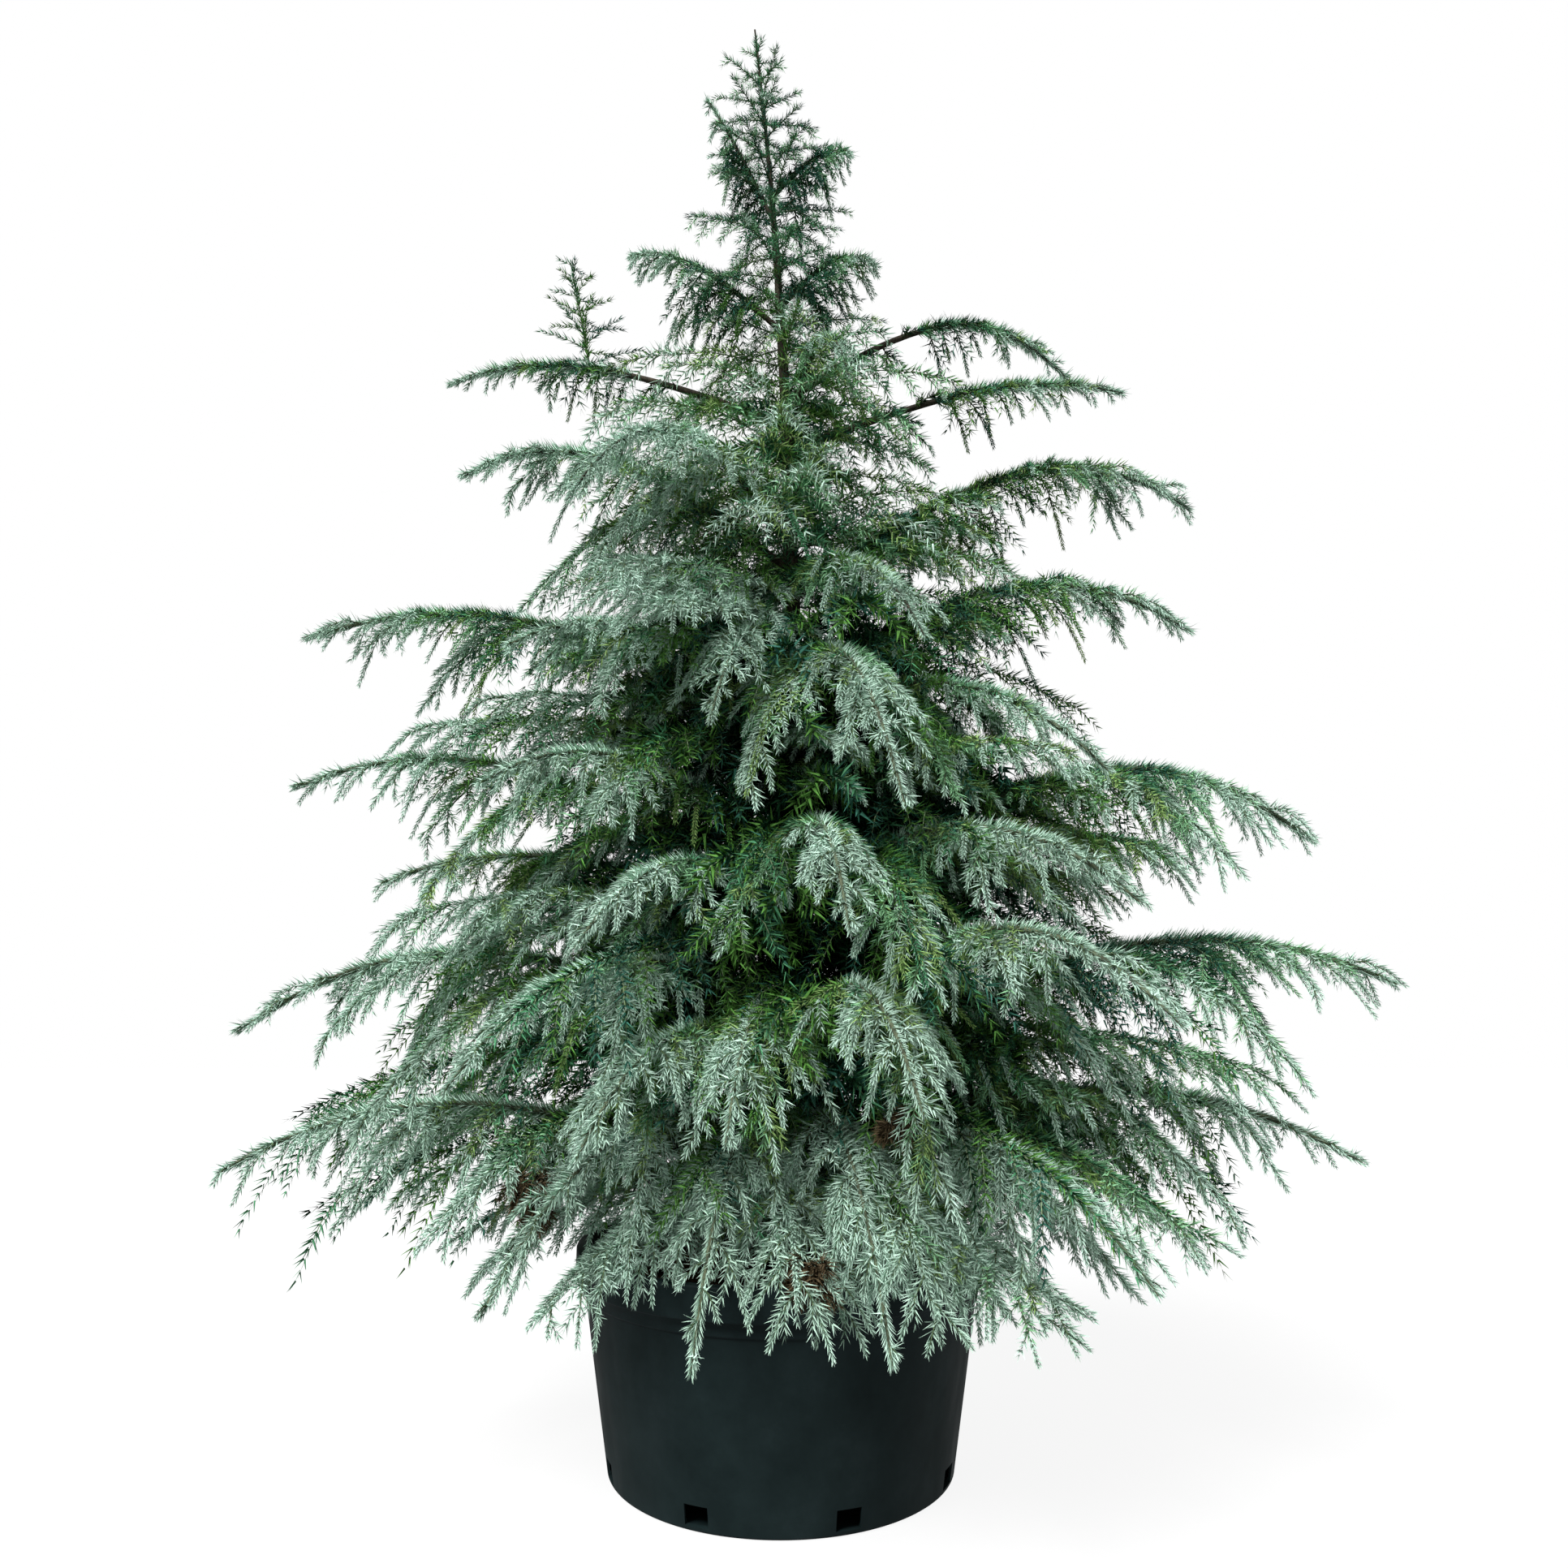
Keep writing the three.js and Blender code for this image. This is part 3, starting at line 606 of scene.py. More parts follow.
def laterals(limb):
    """A limb's side branches. Each is longer, the more of the limb is still ahead of it."""
    first = limb.start + LATERALS["margin"]
    room = limb.reach * (LATERALS["last"] - first)
    count = max(1, round(limb.clothed * room / LATERALS["spacing"]))
    index = np.arange(count)
    share = (index + 0.5) / count
    place = mix(first, LATERALS["last"], share)
    chance = [scatter(limb.seed, index, salt) for salt in (51, 52, 53)]
    length = limb.fan_size * limb.reach * (1 - place) * mix(*LATERALS["share"], share)
    length = length * (1 + LATERALS["scatter"] * (chance[0] - 0.5))
    start = limb.point(place)
    rise = length * limb.slope(place) * LATERALS["climb"]
    drop = length * (mix(*LATERALS["drop"], share) + LATERALS["sag"] * (chance[2] - 0.5))
    lowest = min(max(LOWEST_TIP["share"] * limb.tip, LOWEST_TIP["least"]), LOWEST_TIP["most"])
    root, tip, stray = LATERALS["spread"]
    spread = mix(root, tip, share) + stray * (chance[1] - 0.5)
    return Shoots(
        start=start,
        heading=limb.heading + np.where(index % 2, 1, -1) * spread,
        length=length,
        rise=rise,
        drop=np.minimum(drop, start[:, 2] + rise - lowest),
        radius=limb.radius(place) * LATERALS["stoutness"],
        outer=place,
        bloom=limb.bloom + BLOOM_SCATTER * (chance[2] - 0.5),
        seed=limb.seed + 0.17 + index * 0.11,
    )


def repeat_each(shoots, count):
    """Each shoot as often as its count says, with that count and with the number of its turn."""
    turn = np.arange(count.sum()) - np.repeat(np.cumsum(count) - count, count)
    picks = np.repeat(np.arange(len(shoots)), count)
    return shoots.take(picks), count[picks], turn


def branch(mothers, rule, salt):
    """Shoots along both sides of what they grow on, which follow its slope and then hang."""
    room = mothers.true_length() * rule["last"]
    count = np.maximum(np.round(room / rule["spacing"]), 2).astype(int)
    mother, count, turn = repeat_each(mothers, count)
    first, stray = BRANCH["stray"]
    step = (turn + first + stray * scatter(mother.seed, turn, salt)) / count
    t = mix(BRANCH["first"], rule["last"], step)
    side = np.where(turn % 2, 1, -1)
    chance = [scatter(mother.seed, turn, salt + k) for k in (1, 2, 3, 4)]
    length = mother.true_length() * rule["share"] * (1 - rule["taper"] * t)
    least, spare = BRANCH["size"]
    length = np.clip(length * (least + spare * chance[0]), rule["least"], rule["most"])
    slope = (mother.rise - 2 * mother.drop * t) / mother.length
    length = length / np.sqrt(1 + slope ** 2)
    spread = mix(*rule["spread"], t) + rule["scatter"] * (chance[1] - 0.5)
    return Shoots(
        start=mother.point(t),
        heading=mother.heading + side * spread,
        length=length,
        rise=length * (slope * BRANCH["follow"] + BRANCH["rise"] * (chance[2] - BRANCH["level"])),
        drop=length * (rule["droop"][0] + rule["droop"][1] * chance[3]),
        radius=rule["radius"],
        outer=mix(mother.outer, 1, BRANCH["outward"] * t),
        bloom=mother.bloom + BLOOM_SCATTER * (scatter(mother.seed, turn, salt + 5) - 0.5),
        seed=mother.seed + turn * 0.013 + 0.7,
    )


def shoots_on(twigs, rule, salt):
    """The shoots on those twigs that are long enough to bear any."""
    return branch(twigs.take(twigs.true_length() > BARE_TWIG), rule, salt)


# Sprays that grow from the trunk itself. A row is the band of heights that they start in, how
# many there are, their length at its foot and at its top, their rise and drop for their length,
# how long they are in front and at the back against the sides, how far out they count as, their
# bloom, their zone, the two headings that they stand between unless they stand all round, and
# their needles
SPRAY_COLUMNS = ("from", "to", "count", "length", "rise", "drop", "front", "outer", "bloom",
                 "zone", "headings", "needles")

# How far a spray strays from its heading, in degrees, and how its size varies
SPRAY = {"stray": 20, "size": (0.7, 0.5)}

# Sprays with twigs and shoots, clothed as a limb is, which fill the rim and the gaps
CLOTHED_SPRAYS = [dict(zip(SPRAY_COLUMNS, row)) for row in (
    (300, 345, 16, (400, 420), 0.42, 0.56, 0.9, 0.5, 0.68, "lower", None),
    (300, 330, 3, (365, 340), 0.4, 0.5, 1, 0.5, 0.66, "lower", (226, 244)),
    (300, 330, 3, (460, 430), 0.4, 0.52, 1, 0.5, 0.66, "lower", (298, 312)),
    (470, 520, 3, (570, 550), 0.34, 0.34, 1, 0.5, 0.46, "lower", (324, 342)),
    (650, 700, 3, (600, 580), 0.3, 0.3, 1, 0.5, 0.6, "middle", (190, 206)),
    (740, 790, 3, (540, 520), 0.28, 0.28, 1, 0.5, 0.46, "middle", (334, 350)),
    (900, 960, 3, (460, 440), 0.3, 0.25, 1, 0.5, 0.58, "middle", (192, 210)),
    (880, 960, 3, (330, 310), 0.2, 0.35, 1, 0.5, 0.6, "middle", (264, 300)),
    (840, 900, 2, (440, 420), 0.25, 0.3, 1, 0.5, 0.5, "middle", (314, 328)),
    (1080, 1180, 3, (380, 360), 0.3, 0.2, 1, 0.5, 0.58, "top", (188, 212)),
    (1060, 1160, 3, (380, 350), 0.25, 0.35, 1, 0.5, 0.66, "top", (222, 246)),
)]

# Plainer sprays, which make the inside of the crown dark and dense and clothe the leader. Most of
# their needles in the lower and middle zones take the shade tone, a painted shade
LOWEST_SPRAY = 265
TRUNK_SPRAYS = [dict(zip(SPRAY_COLUMNS, row)) for row in (
    (760, 960, 18, (330, 290), 0.2, 0.3, 1, 0.1, 0.34, "middle", (320, 400), CORE_NEEDLES),
    (480, 1100, 96, (290, 240), 0.3, 0.3, 1, 0.1, 0.38, "middle", None, CORE_NEEDLES),
    (1250, 1480, 14, (150, 90), 0.3, 0.3, 1, 0.4, 0.5, "top", None, CORE_NEEDLES),
    (350, 470, 18, (520, 560), 0.42, 0.48, 0.58, 0.35, 0.26, "lower", None, BODY_NEEDLES),
    (470, 700, 29, (580, 500), 0.34, 0.46, 0.58, 0.35, 0.26, "lower", None, BODY_NEEDLES),
    (700, 1150, 42, (500, 360), 0.34, 0.46, 0.58, 0.35, 0.28, "middle", None, BODY_NEEDLES),
    (1150, 1560, 54, (330, 240), 0.3, 0.4, 0.8, 0.4, 0.68, "top", None, BODY_NEEDLES),
    (1560, 1800, 32, (150, 126), 0.24, 0.34, 1, 0.45, 0.48, "top", None, LEADER_NEEDLES),
    (1800, 1990, 24, (126, 88), 0.4, 0.16, 1, 0.5, 0.46, "top", None, LEADER_NEEDLES),
    (1990, 2110, 11, (80, 22), 0.7, 0.08, 1, 0.6, 0.46, "top", None, LEADER_NEEDLES),
)]

# Dead sprays of brown needles that show low in front, by their middles and sizes, and what their
# shoots are for that size
DEAD_SPRAYS = [(-287, -215, 366, 56), (34, -362, 308, 38), (130, -318, 456, 34)]
DEAD_SHOOTS = {"count": 26, "room": (0.8, 0.4, 0.8), "spread": 150, "length": 0.45, "rise": 0.2,
               "drop": 0.35, "outer": 0.5, "bloom": 0.3}


def trunk_sprays(row, salt):
    """The sprays of one row, in their band of heights."""
    index = np.arange(row["count"])
    share = (index + scatter(index, salt, 1)) / row["count"]
    height = mix(row["from"], row["to"], share)
    if row["headings"]:
        heading = mix(*row["headings"], scatter(index, salt, 4))
    else:
        heading = index * GOLDEN_TURN + SPRAY["stray"] * scatter(index, salt, 2)
    least, spare = SPRAY["size"]
    length = mix(*row["length"], share) * (least + spare * scatter(index, salt, 3))
    length = length * mix(row["front"], 1, np.abs(np.cos(np.radians(heading))))
    return Shoots(
        start=trunk_axis(height),
        heading=heading,
        length=length,
        rise=length * row["rise"],
        drop=length * row["drop"],
        radius=TWIG_RADIUS,
        outer=row["outer"],
        # Painted light and shade: sprays on the lit side are paler and those on the far side darker
        bloom=row["bloom"] + LIT_SIDE_PAINTED_LIGHT * np.cos(np.radians(heading - LIT_HEADING)),
        seed=salt + index * 0.37,
    )


def dead_sprays():
    """Short shoots all round the middle of each dead spray."""
    rule = DEAD_SHOOTS
    index = np.arange(rule["count"] * len(DEAD_SPRAYS))
    middles = np.array(DEAD_SPRAYS, float)[index // rule["count"]]
    size = middles[:, 3]
    stray = np.stack([scatter(index, 1, k) - 0.5 for k in (5, 6, 7)], axis=-1)
    return Shoots(
        start=middles[:, :3] + stray * size[:, None] * rule["room"],
        heading=FRONT_HEADING + rule["spread"] * (scatter(index, 2, 5) - 0.5),
        length=size * rule["length"],
        rise=size * rule["rise"] * (scatter(index, 3, 5) - 0.5),
        drop=size * rule["drop"],
        radius=FINE_RADIUS,
        outer=rule["outer"],
        bloom=rule["bloom"],
        seed=7.7 + index * 0.19,
    )


def second_leader(limb):
    """The upright shoot on the left bough of the crown, and its short side twigs."""
    foot = limb.point(SECOND_LEADER["place"])
    rule = LEADER_TWIGS
    share = (np.arange(rule["count"]) + 1) / (rule["count"] + 1)
    heading = np.arange(rule["count"]) * GOLDEN_TURN
    axis = foot + share[:, None] * [SECOND_LEADER["lean"], 0, SECOND_LEADER["height"]]
    length = mix(*rule["length"], share)
    spine = Shoots(
        start=foot[None, :], heading=180, length=-SECOND_LEADER["lean"],
        rise=SECOND_LEADER["height"], drop=0, radius=TWIG_RADIUS * SECOND_LEADER["stoutness"],
        outer=SECOND_LEADER["outer"], bloom=SECOND_LEADER["bloom"], seed=3.3,
    )
    twigs = Shoots(
        start=axis, heading=heading, length=length, rise=length * rule["rise"],
        drop=length * rule["drop"], radius=FINE_RADIUS, outer=rule["outer"],
        bloom=rule["bloom"], seed=4.4 + share,
    )
    return spine, twigs


# Needles


def directions(shoots, t):
    """Along each shoot at a share of its length, across it and above it."""
    along = shoots.along(t)
    across = unit(np.cross(along, NEARLY_UP))
    return along, across, np.cross(across, along)


def needles_on(shoots, kind):
    """Pairs of needles round each shoot: corners (count, 4, 3) for the pattern PAIR.

    The two of a pair share their foot and part towards their tips, and pairs stand in tufts.
    """
    size = shoots.true_length()
    count = np.maximum(np.round(size * kind["per_mm"]), 3).astype(int)
    mother, count, turn = repeat_each(shoots, count)
    chance = [scatter(mother.seed, turn, k) for k in (11, 12, 13)]
    first, stray = NEEDLE["tuft"]
    tuft = (np.floor(turn / kind["cluster"]) + first + stray * chance[0]) * kind["cluster"]
    t = np.minimum(tuft / count, 1)
    along, across, above = directions(mother, t)
    angle = np.radians(turn * GOLDEN_TURN + NEEDLE["stray"] * chance[1])[:, None]
    outward = np.cos(angle) * across + np.sin(angle) * above
    tilt = np.radians(mix(kind["tilt"], NEEDLE_END_TILT, t ** 5))[:, None]
    lean = unit(np.cos(tilt) * along + np.sin(tilt) * outward + [0, 0, NEEDLE["lift"]])
    least, spare = NEEDLE["size"]
    length = kind["length"] * (least + spare * chance[2]) * (1 - NEEDLE["taper"] * t ** 3)
    length = length[:, None]
    flank = unit(np.cross(lean, outward))
    base = mother.point(t) + outward * mother.radius[:, None] * NEEDLE["foot"]
    tip = base + lean * length
    part = flank * length * math.tan(math.radians(PAIR_ANGLE / 2))
    foot = unit(np.cross(flank, lean)) * kind["width"]
    second = tip + part * NEEDLE["second"] - foot
    return np.stack([base - foot / 2, tip - part, second, base + foot / 2], axis=1)


# The two needles of a pair, each one triangle, by its corners
PAIR = np.array([[0, 3, 1], [3, 0, 2]])


def tubes_along(shoots, places, shares):
    """Three-sided tapering twigs along shoots, with a foot inside what they grow on."""
    count = len(shoots)
    rings = []
    for t, share in zip(places, shares):
        at = np.full(count, float(t))
        _, across, above = directions(shoots, at)
        for corner in range(3):
            turn = corner * 2 * math.pi / 3
            offset = math.cos(turn) * across + math.sin(turn) * above
            rings.append(shoots.point(at) + offset * shoots.radius[:, None] * share)
    rings.append(shoots.point(np.ones(count)))
    corners = np.stack(rings, axis=1)
    faces = []
    for ring in range(len(places) - 1):
        for corner in range(3):
            a, b = 3 * ring + corner, 3 * ring + (corner + 1) % 3
            faces += [[a, b, b + 3], [a, b + 3, a + 3]]
    last, tip = 3 * (len(places) - 1), 3 * len(places)
    faces += [[last + corner, last + (corner + 1) % 3, tip] for corner in range(3)]
    return corners, np.array(faces)


def faces_of(corners, pattern):
    """Triangles for many copies of one small pattern of corners."""
    copies, size = corners.shape[:2]
    return (np.arange(copies)[:, None, None] * size + pattern[None]).reshape(-1, 3)


def joined_mesh(name, groups):
    """One mesh from groups of (corners in millimetres, pattern of triangles)."""
    points = np.concatenate([corners.reshape(-1, 3) for corners, _ in groups]) * MM
    triangles, base = [], 0
    for corners, pattern in groups:
        triangles.append(faces_of(corners, pattern) + base)
        base += corners.shape[0] * corners.shape[1]
    triangles = np.concatenate(triangles)
    mesh = bpy.data.meshes.new(name)
    mesh.vertices.add(len(points))
    mesh.vertices.foreach_set("co", points.astype(np.float32).ravel())
    mesh.loops.add(triangles.size)
    mesh.loops.foreach_set("vertex_index", triangles.astype(np.int32).ravel())
    mesh.polygons.add(len(triangles))
    mesh.polygons.foreach_set("loop_start", np.arange(0, triangles.size, 3, dtype=np.int32))
    mesh.update(calc_edges=True)
    return mesh


# Materials


def colour(hex_code):
    """A linear colour from an sRGB hex value."""
    channels = [int(hex_code[i:i + 2], 16) / 255 for i in (1, 3, 5)]
    linear = [c / 12.92 if c <= 0.04045 else ((c + 0.055) / 1.055) ** 2.4 for c in channels]
    return (*linear, 1.0)


def set_stops(elements, stops):
    """Gives a colour ramp its stops, as (place, hex colour)."""
    while len(elements) < len(stops):
        elements.new(0.5)
    for element, (place, hex_code) in zip(elements, stops):
        element.position = place
        element.color = colour(hex_code)


def add(material, kind, settings=None, links=None):
    """Adds a node, sets its inputs, properties or ramp stops, and links its inputs to outputs."""
    node = material.node_tree.nodes.new(kind)
    for name, value in (settings or {}).items():
        if name == "stops":
            set_stops(node.color_ramp.elements, value)
        elif name in node.inputs:
            node.inputs[name].default_value = value
        else:
            setattr(node, name, value)
    for name, source in (links or {}).items():
        material.node_tree.links.new(source, node.inputs[name])
    return node


def blank_material(name):
    """A material with an empty node tree."""
    material = bpy.data.materials.new(name)
    material.use_nodes = True
    material.node_tree.nodes.clear()
    return material


def finish_material(material, surface, bump=None):
    """Adds the shader and the output, with a bump where one is given."""
    links = {}
    settings = {}
    for name, value in surface.items():
        target = links if isinstance(value, bpy.types.NodeSocket) else settings
        target[name] = value
    if bump:
        links["Normal"] = bump
    shader = add(material, "ShaderNodeBsdfPrincipled", settings, links)
    add(material, "ShaderNodeOutputMaterial", links={"Surface": shader.outputs["BSDF"]})
    return material


def tinted(hex_code, factor):
    """A hex colour made lighter or darker by a factor."""
    channels = [min(255, round(int(hex_code[i:i + 2], 16) * factor)) for i in (1, 3, 5)]
    return "#" + "".join(f"{c:02X}" for c in channels)


def needle_material(tone, hex_code):
    """Waxy needles: matt, with a bloom that varies a little in patches about 45 mm across."""
    material = blank_material(f"waxy_needles_{tone}")
    place = add(material, "ShaderNodeTexCoord").outputs["Object"]
    patches = add(material, "ShaderNodeTexNoise", {"Scale": 22.0, "Detail": 1.0}, {"Vector": place})
    stops = [(0.32, tinted(hex_code, 0.86)), (0.5, hex_code), (0.68, tinted(hex_code, 1.1))]
    base = add(material, "ShaderNodeValToRGB", {"stops": stops}, {"Fac": patches.outputs["Fac"]})
    return finish_material(material, {
        "Base Color": base.outputs["Color"], "Roughness": 0.7, "Specular IOR Level": 0.1,
    })


def bark_material():
    """Young cedar bark: grey-brown and matt, with upright fissures 6 mm wide and 25 mm long."""
    material = blank_material("young_bark")
    place = add(material, "ShaderNodeTexCoord").outputs["Object"]
    upright = add(material, "ShaderNodeMapping", {"Scale": (160, 160, 40)}, {"Vector": place})
    fissures = add(material, "ShaderNodeTexNoise", {"Scale": 1.0, "Detail": 5.0},
                   {"Vector": upright.outputs["Vector"]})
    stops = [(0.3, "#221E18"), (0.5, "#3D372E"), (0.72, "#5E5548")]
    base = add(material, "ShaderNodeValToRGB", {"stops": stops}, {"Fac": fissures.outputs["Fac"]})
    bump = add(material, "ShaderNodeBump", {"Strength": 0.5, "Distance": 0.001},
               {"Height": fissures.outputs["Fac"]})
    return finish_material(material, {
        "Base Color": base.outputs["Color"], "Roughness": 0.85, "Specular IOR Level": 0.25,
    }, bump.outputs["Normal"])


def twig_material(name, hex_code):
    """Twig skin: grey-green and matt, paler on young shoots, in patches about 11 mm across."""
    material = blank_material(name)
    place = add(material, "ShaderNodeTexCoord").outputs["Object"]
    patches = add(material, "ShaderNodeTexNoise", {"Scale": 90.0, "Detail": 2.0}, {"Vector": place})
    stops = [(0.35, tinted(hex_code, 0.75)), (0.5, hex_code), (0.7, tinted(hex_code, 1.2))]
    base = add(material, "ShaderNodeValToRGB", {"stops": stops}, {"Fac": patches.outputs["Fac"]})
    return finish_material(material, {
        "Base Color": base.outputs["Color"], "Roughness": 0.75, "Specular IOR Level": 0.25,
    })


def pot_material():
    """Black moulded polypropylene: satin, with patches of dust 110 mm across and upright scuffs.

    Its moulded grain is drawn 1.4 mm wide, coarser than such pots have, so that it shows.
    """
    material = blank_material("black_polypropylene")
    place = add(material, "ShaderNodeTexCoord").outputs["Object"]
    dust = add(material, "ShaderNodeTexNoise", {"Scale": 9.0, "Detail": 6.0, "Roughness": 0.65},
               {"Vector": place})
    stops = [(0.35, "#1A2728"), (0.55, "#223031"), (0.75, "#2C3A3C")]
    base = add(material, "ShaderNodeValToRGB", {"stops": stops}, {"Fac": dust.outputs["Fac"]})
    streaks = add(material, "ShaderNodeMapping", {"Scale": (30, 30, 6)}, {"Vector": place})
    scuffs = add(material, "ShaderNodeTexNoise", {"Scale": 1.0, "Detail": 4.0},
                 {"Vector": streaks.outputs["Vector"]})
    rough = add(material, "ShaderNodeMapRange",
                {"From Min": 0.3, "From Max": 0.7, "To Min": 0.42, "To Max": 0.6},
                {"Value": scuffs.outputs["Fac"]})
    grain = add(material, "ShaderNodeTexNoise", {"Scale": 700.0, "Detail": 2.0}, {"Vector": place})
    bump = add(material, "ShaderNodeBump", {"Strength": 0.12, "Distance": 0.0004},
               {"Height": grain.outputs["Fac"]})
    return finish_material(material, {
        "Base Color": base.outputs["Color"], "Roughness": rough.outputs["Result"],
        "Specular IOR Level": 0.12,
    }, bump.outputs["Normal"])


def soil_material(name, stops):
    """Moist bark compost or its chips: brown and matt, with crumbs about 8 mm across."""
    material = blank_material(name)
    place = add(material, "ShaderNodeTexCoord").outputs["Object"]
    crumbs = add(material, "ShaderNodeTexNoise", {"Scale": 120.0, "Detail": 6.0}, {"Vector": place})
    base = add(material, "ShaderNodeValToRGB", {"stops": stops}, {"Fac": crumbs.outputs["Fac"]})
    bump = add(material, "ShaderNodeBump", {"Strength": 0.8, "Distance": 0.003},
               {"Height": crumbs.outputs["Fac"]})
    return finish_material(material, {
        "Base Color": base.outputs["Color"], "Roughness": 0.95, "Specular IOR Level": 0.15,
    }, bump.outputs["Normal"])


def show(name, mesh, material, nodes):
    """Puts a finished mesh in the scene as a piece that stands for some CAD nodes."""
    piece = bpy.data.objects.new(name, mesh)
    bpy.context.scene.collection.objects.link(piece)
    piece.data.materials.append(material)
    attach(piece, "root")
    if nodes:
        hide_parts(*nodes)
    return piece


def to_mesh(name, bm):
    """A mesh from a bmesh, with its normals facing outwards."""
    bmesh.ops.remove_doubles(bm, verts=bm.verts, dist=1e-6)
    bmesh.ops.recalc_face_normals(bm, faces=bm.faces)
    mesh = bpy.data.meshes.new(name)
    bm.to_mesh(mesh)
    bm.free()
    return mesh


def smooth(mesh, angle):
    """Smooth shading, with edges sharper than the angle kept."""
    mesh.polygons.foreach_set("use_smooth", [True] * len(mesh.polygons))
    mesh.set_sharp_from_angle(angle=math.radians(angle))


def spin_profile(name, profile, segments):
    """A closed round mesh from a profile of [radius, height] pairs that starts on the axis."""
    bm = bmesh.new()
    corners = [bm.verts.new((radius * MM, 0, height * MM)) for radius, height in profile]
    edges = [bm.edges.new(pair) for pair in zip(corners, corners[1:])]
    bmesh.ops.spin(bm, geom=corners + edges, cent=(0, 0, 0), axis=(0, 0, 1),
                   angle=2 * math.pi, steps=segments, use_merge=True)
    return to_mesh(name, bm)


def arc(centre, radius, first, last, steps):
    """Points of an arc in a profile, by its centre, radius and angles in degrees."""
    turns = [math.radians(mix(first, last, step / steps)) for step in range(steps + 1)]
    return [[centre[0] + radius * math.cos(a), centre[1] + radius * math.sin(a)] for a in turns]


def wall_radius(height):
    """The outside radius of the pot's wall below its band."""
    return mix(POT_BASE_RADIUS, POT_BAND["radius"], height / POT_BAND["bottom"])


def pot_profile():
    """Half of the pot's section: floor, tapering wall, band, lip and inside."""
    band, lip = POT_BAND, POT_LIP
    proud, edge = band["proud"], lip["edge"]
    foot = wall_radius(POT_FLOOR) - POT_WALL
    return [
        [0, 0],
        *arc((POT_BASE_RADIUS - POT_EDGE, POT_EDGE), POT_EDGE, -90, -5, 6),
        [wall_radius(band["bottom"] / 2), band["bottom"] / 2],
        [band["radius"], band["bottom"]],
        *arc((band["radius"], band["bottom"] + proud), proud, -60, 0, 4),
        [band["radius"] + proud + 1, lip["bottom"] - 2 * proud],
        [band["radius"] + 2 * proud, lip["bottom"] - 1],
        *arc((lip["radius"] - edge, lip["bottom"] + edge), edge, -90, 0, 4),
        *arc((lip["radius"] - lip["turn"], lip["top"] - lip["turn"]), lip["turn"], 0, 90, 6),
        *arc((band["radius"] + edge, lip["top"] - edge), edge, 90, 180, 4),
        [foot + POT_FILLET["half_width"], POT_FLOOR + POT_FILLET["height"]],
        [foot - POT_FILLET["half_width"], POT_FLOOR],
        [0, POT_FLOOR],
    ]


def drain_cutters():
    """The boxes that cut the drain holes, as one object."""
    bm = bmesh.new()
    hole = DRAIN_HOLE
    for index in range(hole["count"]):
        size = Matrix.Diagonal((hole["depth"] * MM, hole["width"] * MM,
                                (hole["top"] - hole["bottom"]) * MM, 1))
        middle = (hole["top"] + hole["bottom"]) / 2 * MM
        place = Matrix.Translation((POT_BASE_RADIUS * MM, 0, middle))
        turn = Matrix.Rotation(math.radians(hole["first"] + index * 360 / hole["count"]), 4, "Z")
        bmesh.ops.create_cube(bm, size=1, matrix=turn @ place @ size)
    cutter = bpy.data.objects.new("cutter", to_mesh("cutter", bm))
    bpy.context.scene.collection.objects.link(cutter)
    return cutter


def apply_modifiers(piece):
    """Makes a piece's modifiers part of its mesh."""
    graph = bpy.context.evaluated_depsgraph_get()
    mesh = bpy.data.meshes.new_from_object(piece.evaluated_get(graph))
    piece.modifiers.clear()
    piece.data = mesh


def build_pot():
    """The nursery pot, with drain holes at its foot."""
    mesh = spin_profile("pot_body", pot_profile(), POT_SEGMENTS)
    piece = show("nursery_pot", mesh, pot_material(), ["pot"])
    cutter = drain_cutters()
    cut = piece.modifiers.new("drain_holes", "BOOLEAN")
    cut.operation = "DIFFERENCE"
    cut.object = cutter
    cut.solver = "EXACT"
    apply_modifiers(piece)
    bpy.data.objects.remove(cutter)
    smooth(piece.data, 35)


def build_soil():
    """The compost's crumbly top, with an edge that goes down inside the pot."""
    inner = wall_radius(SOIL_TOP) - POT_WALL - SOIL_GAP
    bm = bmesh.new()
    bmesh.ops.create_circle(bm, cap_ends=False, segments=SOIL_SEGMENTS, radius=inner * MM)
    rings = SOIL_RINGS
    for ring in range(rings):
        border = [edge for edge in bm.edges if len(edge.link_faces) < 2 and all(
            abs(v.co.xy.length - inner * MM * (1 - ring / rings)) < 1e-5 for v in edge.verts)]
        made = bmesh.ops.extrude_edge_only(bm, edges=border)["geom"]
        verts = [item for item in made if isinstance(item, bmesh.types.BMVert)]
        share = max((1 - (ring + 1) / rings) / (1 - ring / rings), 1e-4)
        bmesh.ops.scale(bm, vec=(share, share, 1), verts=verts)
    bmesh.ops.remove_doubles(bm, verts=bm.verts, dist=2e-4)
    for vert in bm.verts:
        lump = sum(noise.noise(vert.co * fineness) * height for fineness, height in SOIL_LUMPS)
        vert.co.z = (SOIL_TOP - SOIL_SINK + lump) * MM
    foot = [edge for edge in bm.edges if edge.is_boundary]
    made = bmesh.ops.extrude_edge_only(bm, edges=foot)["geom"]
    share, sunk = SOIL_SKIRT["share"], (SOIL_TOP - SOIL_SKIRT["depth"]) * MM
    for vert in made:
        if isinstance(vert, bmesh.types.BMVert):
            vert.co = Vector((vert.co.x * share, vert.co.y * share, sunk))
    bmesh.ops.contextual_create(bm, geom=[edge for edge in bm.edges if edge.is_boundary])
    mesh = to_mesh("soil_top", bm)
    smooth(mesh, 60)
    stops = [(0.3, "#1B130D"), (0.5, "#38281C"), (0.75, "#5A4330")]
    show("compost", mesh, soil_material("bark_compost", stops), ["soil"])


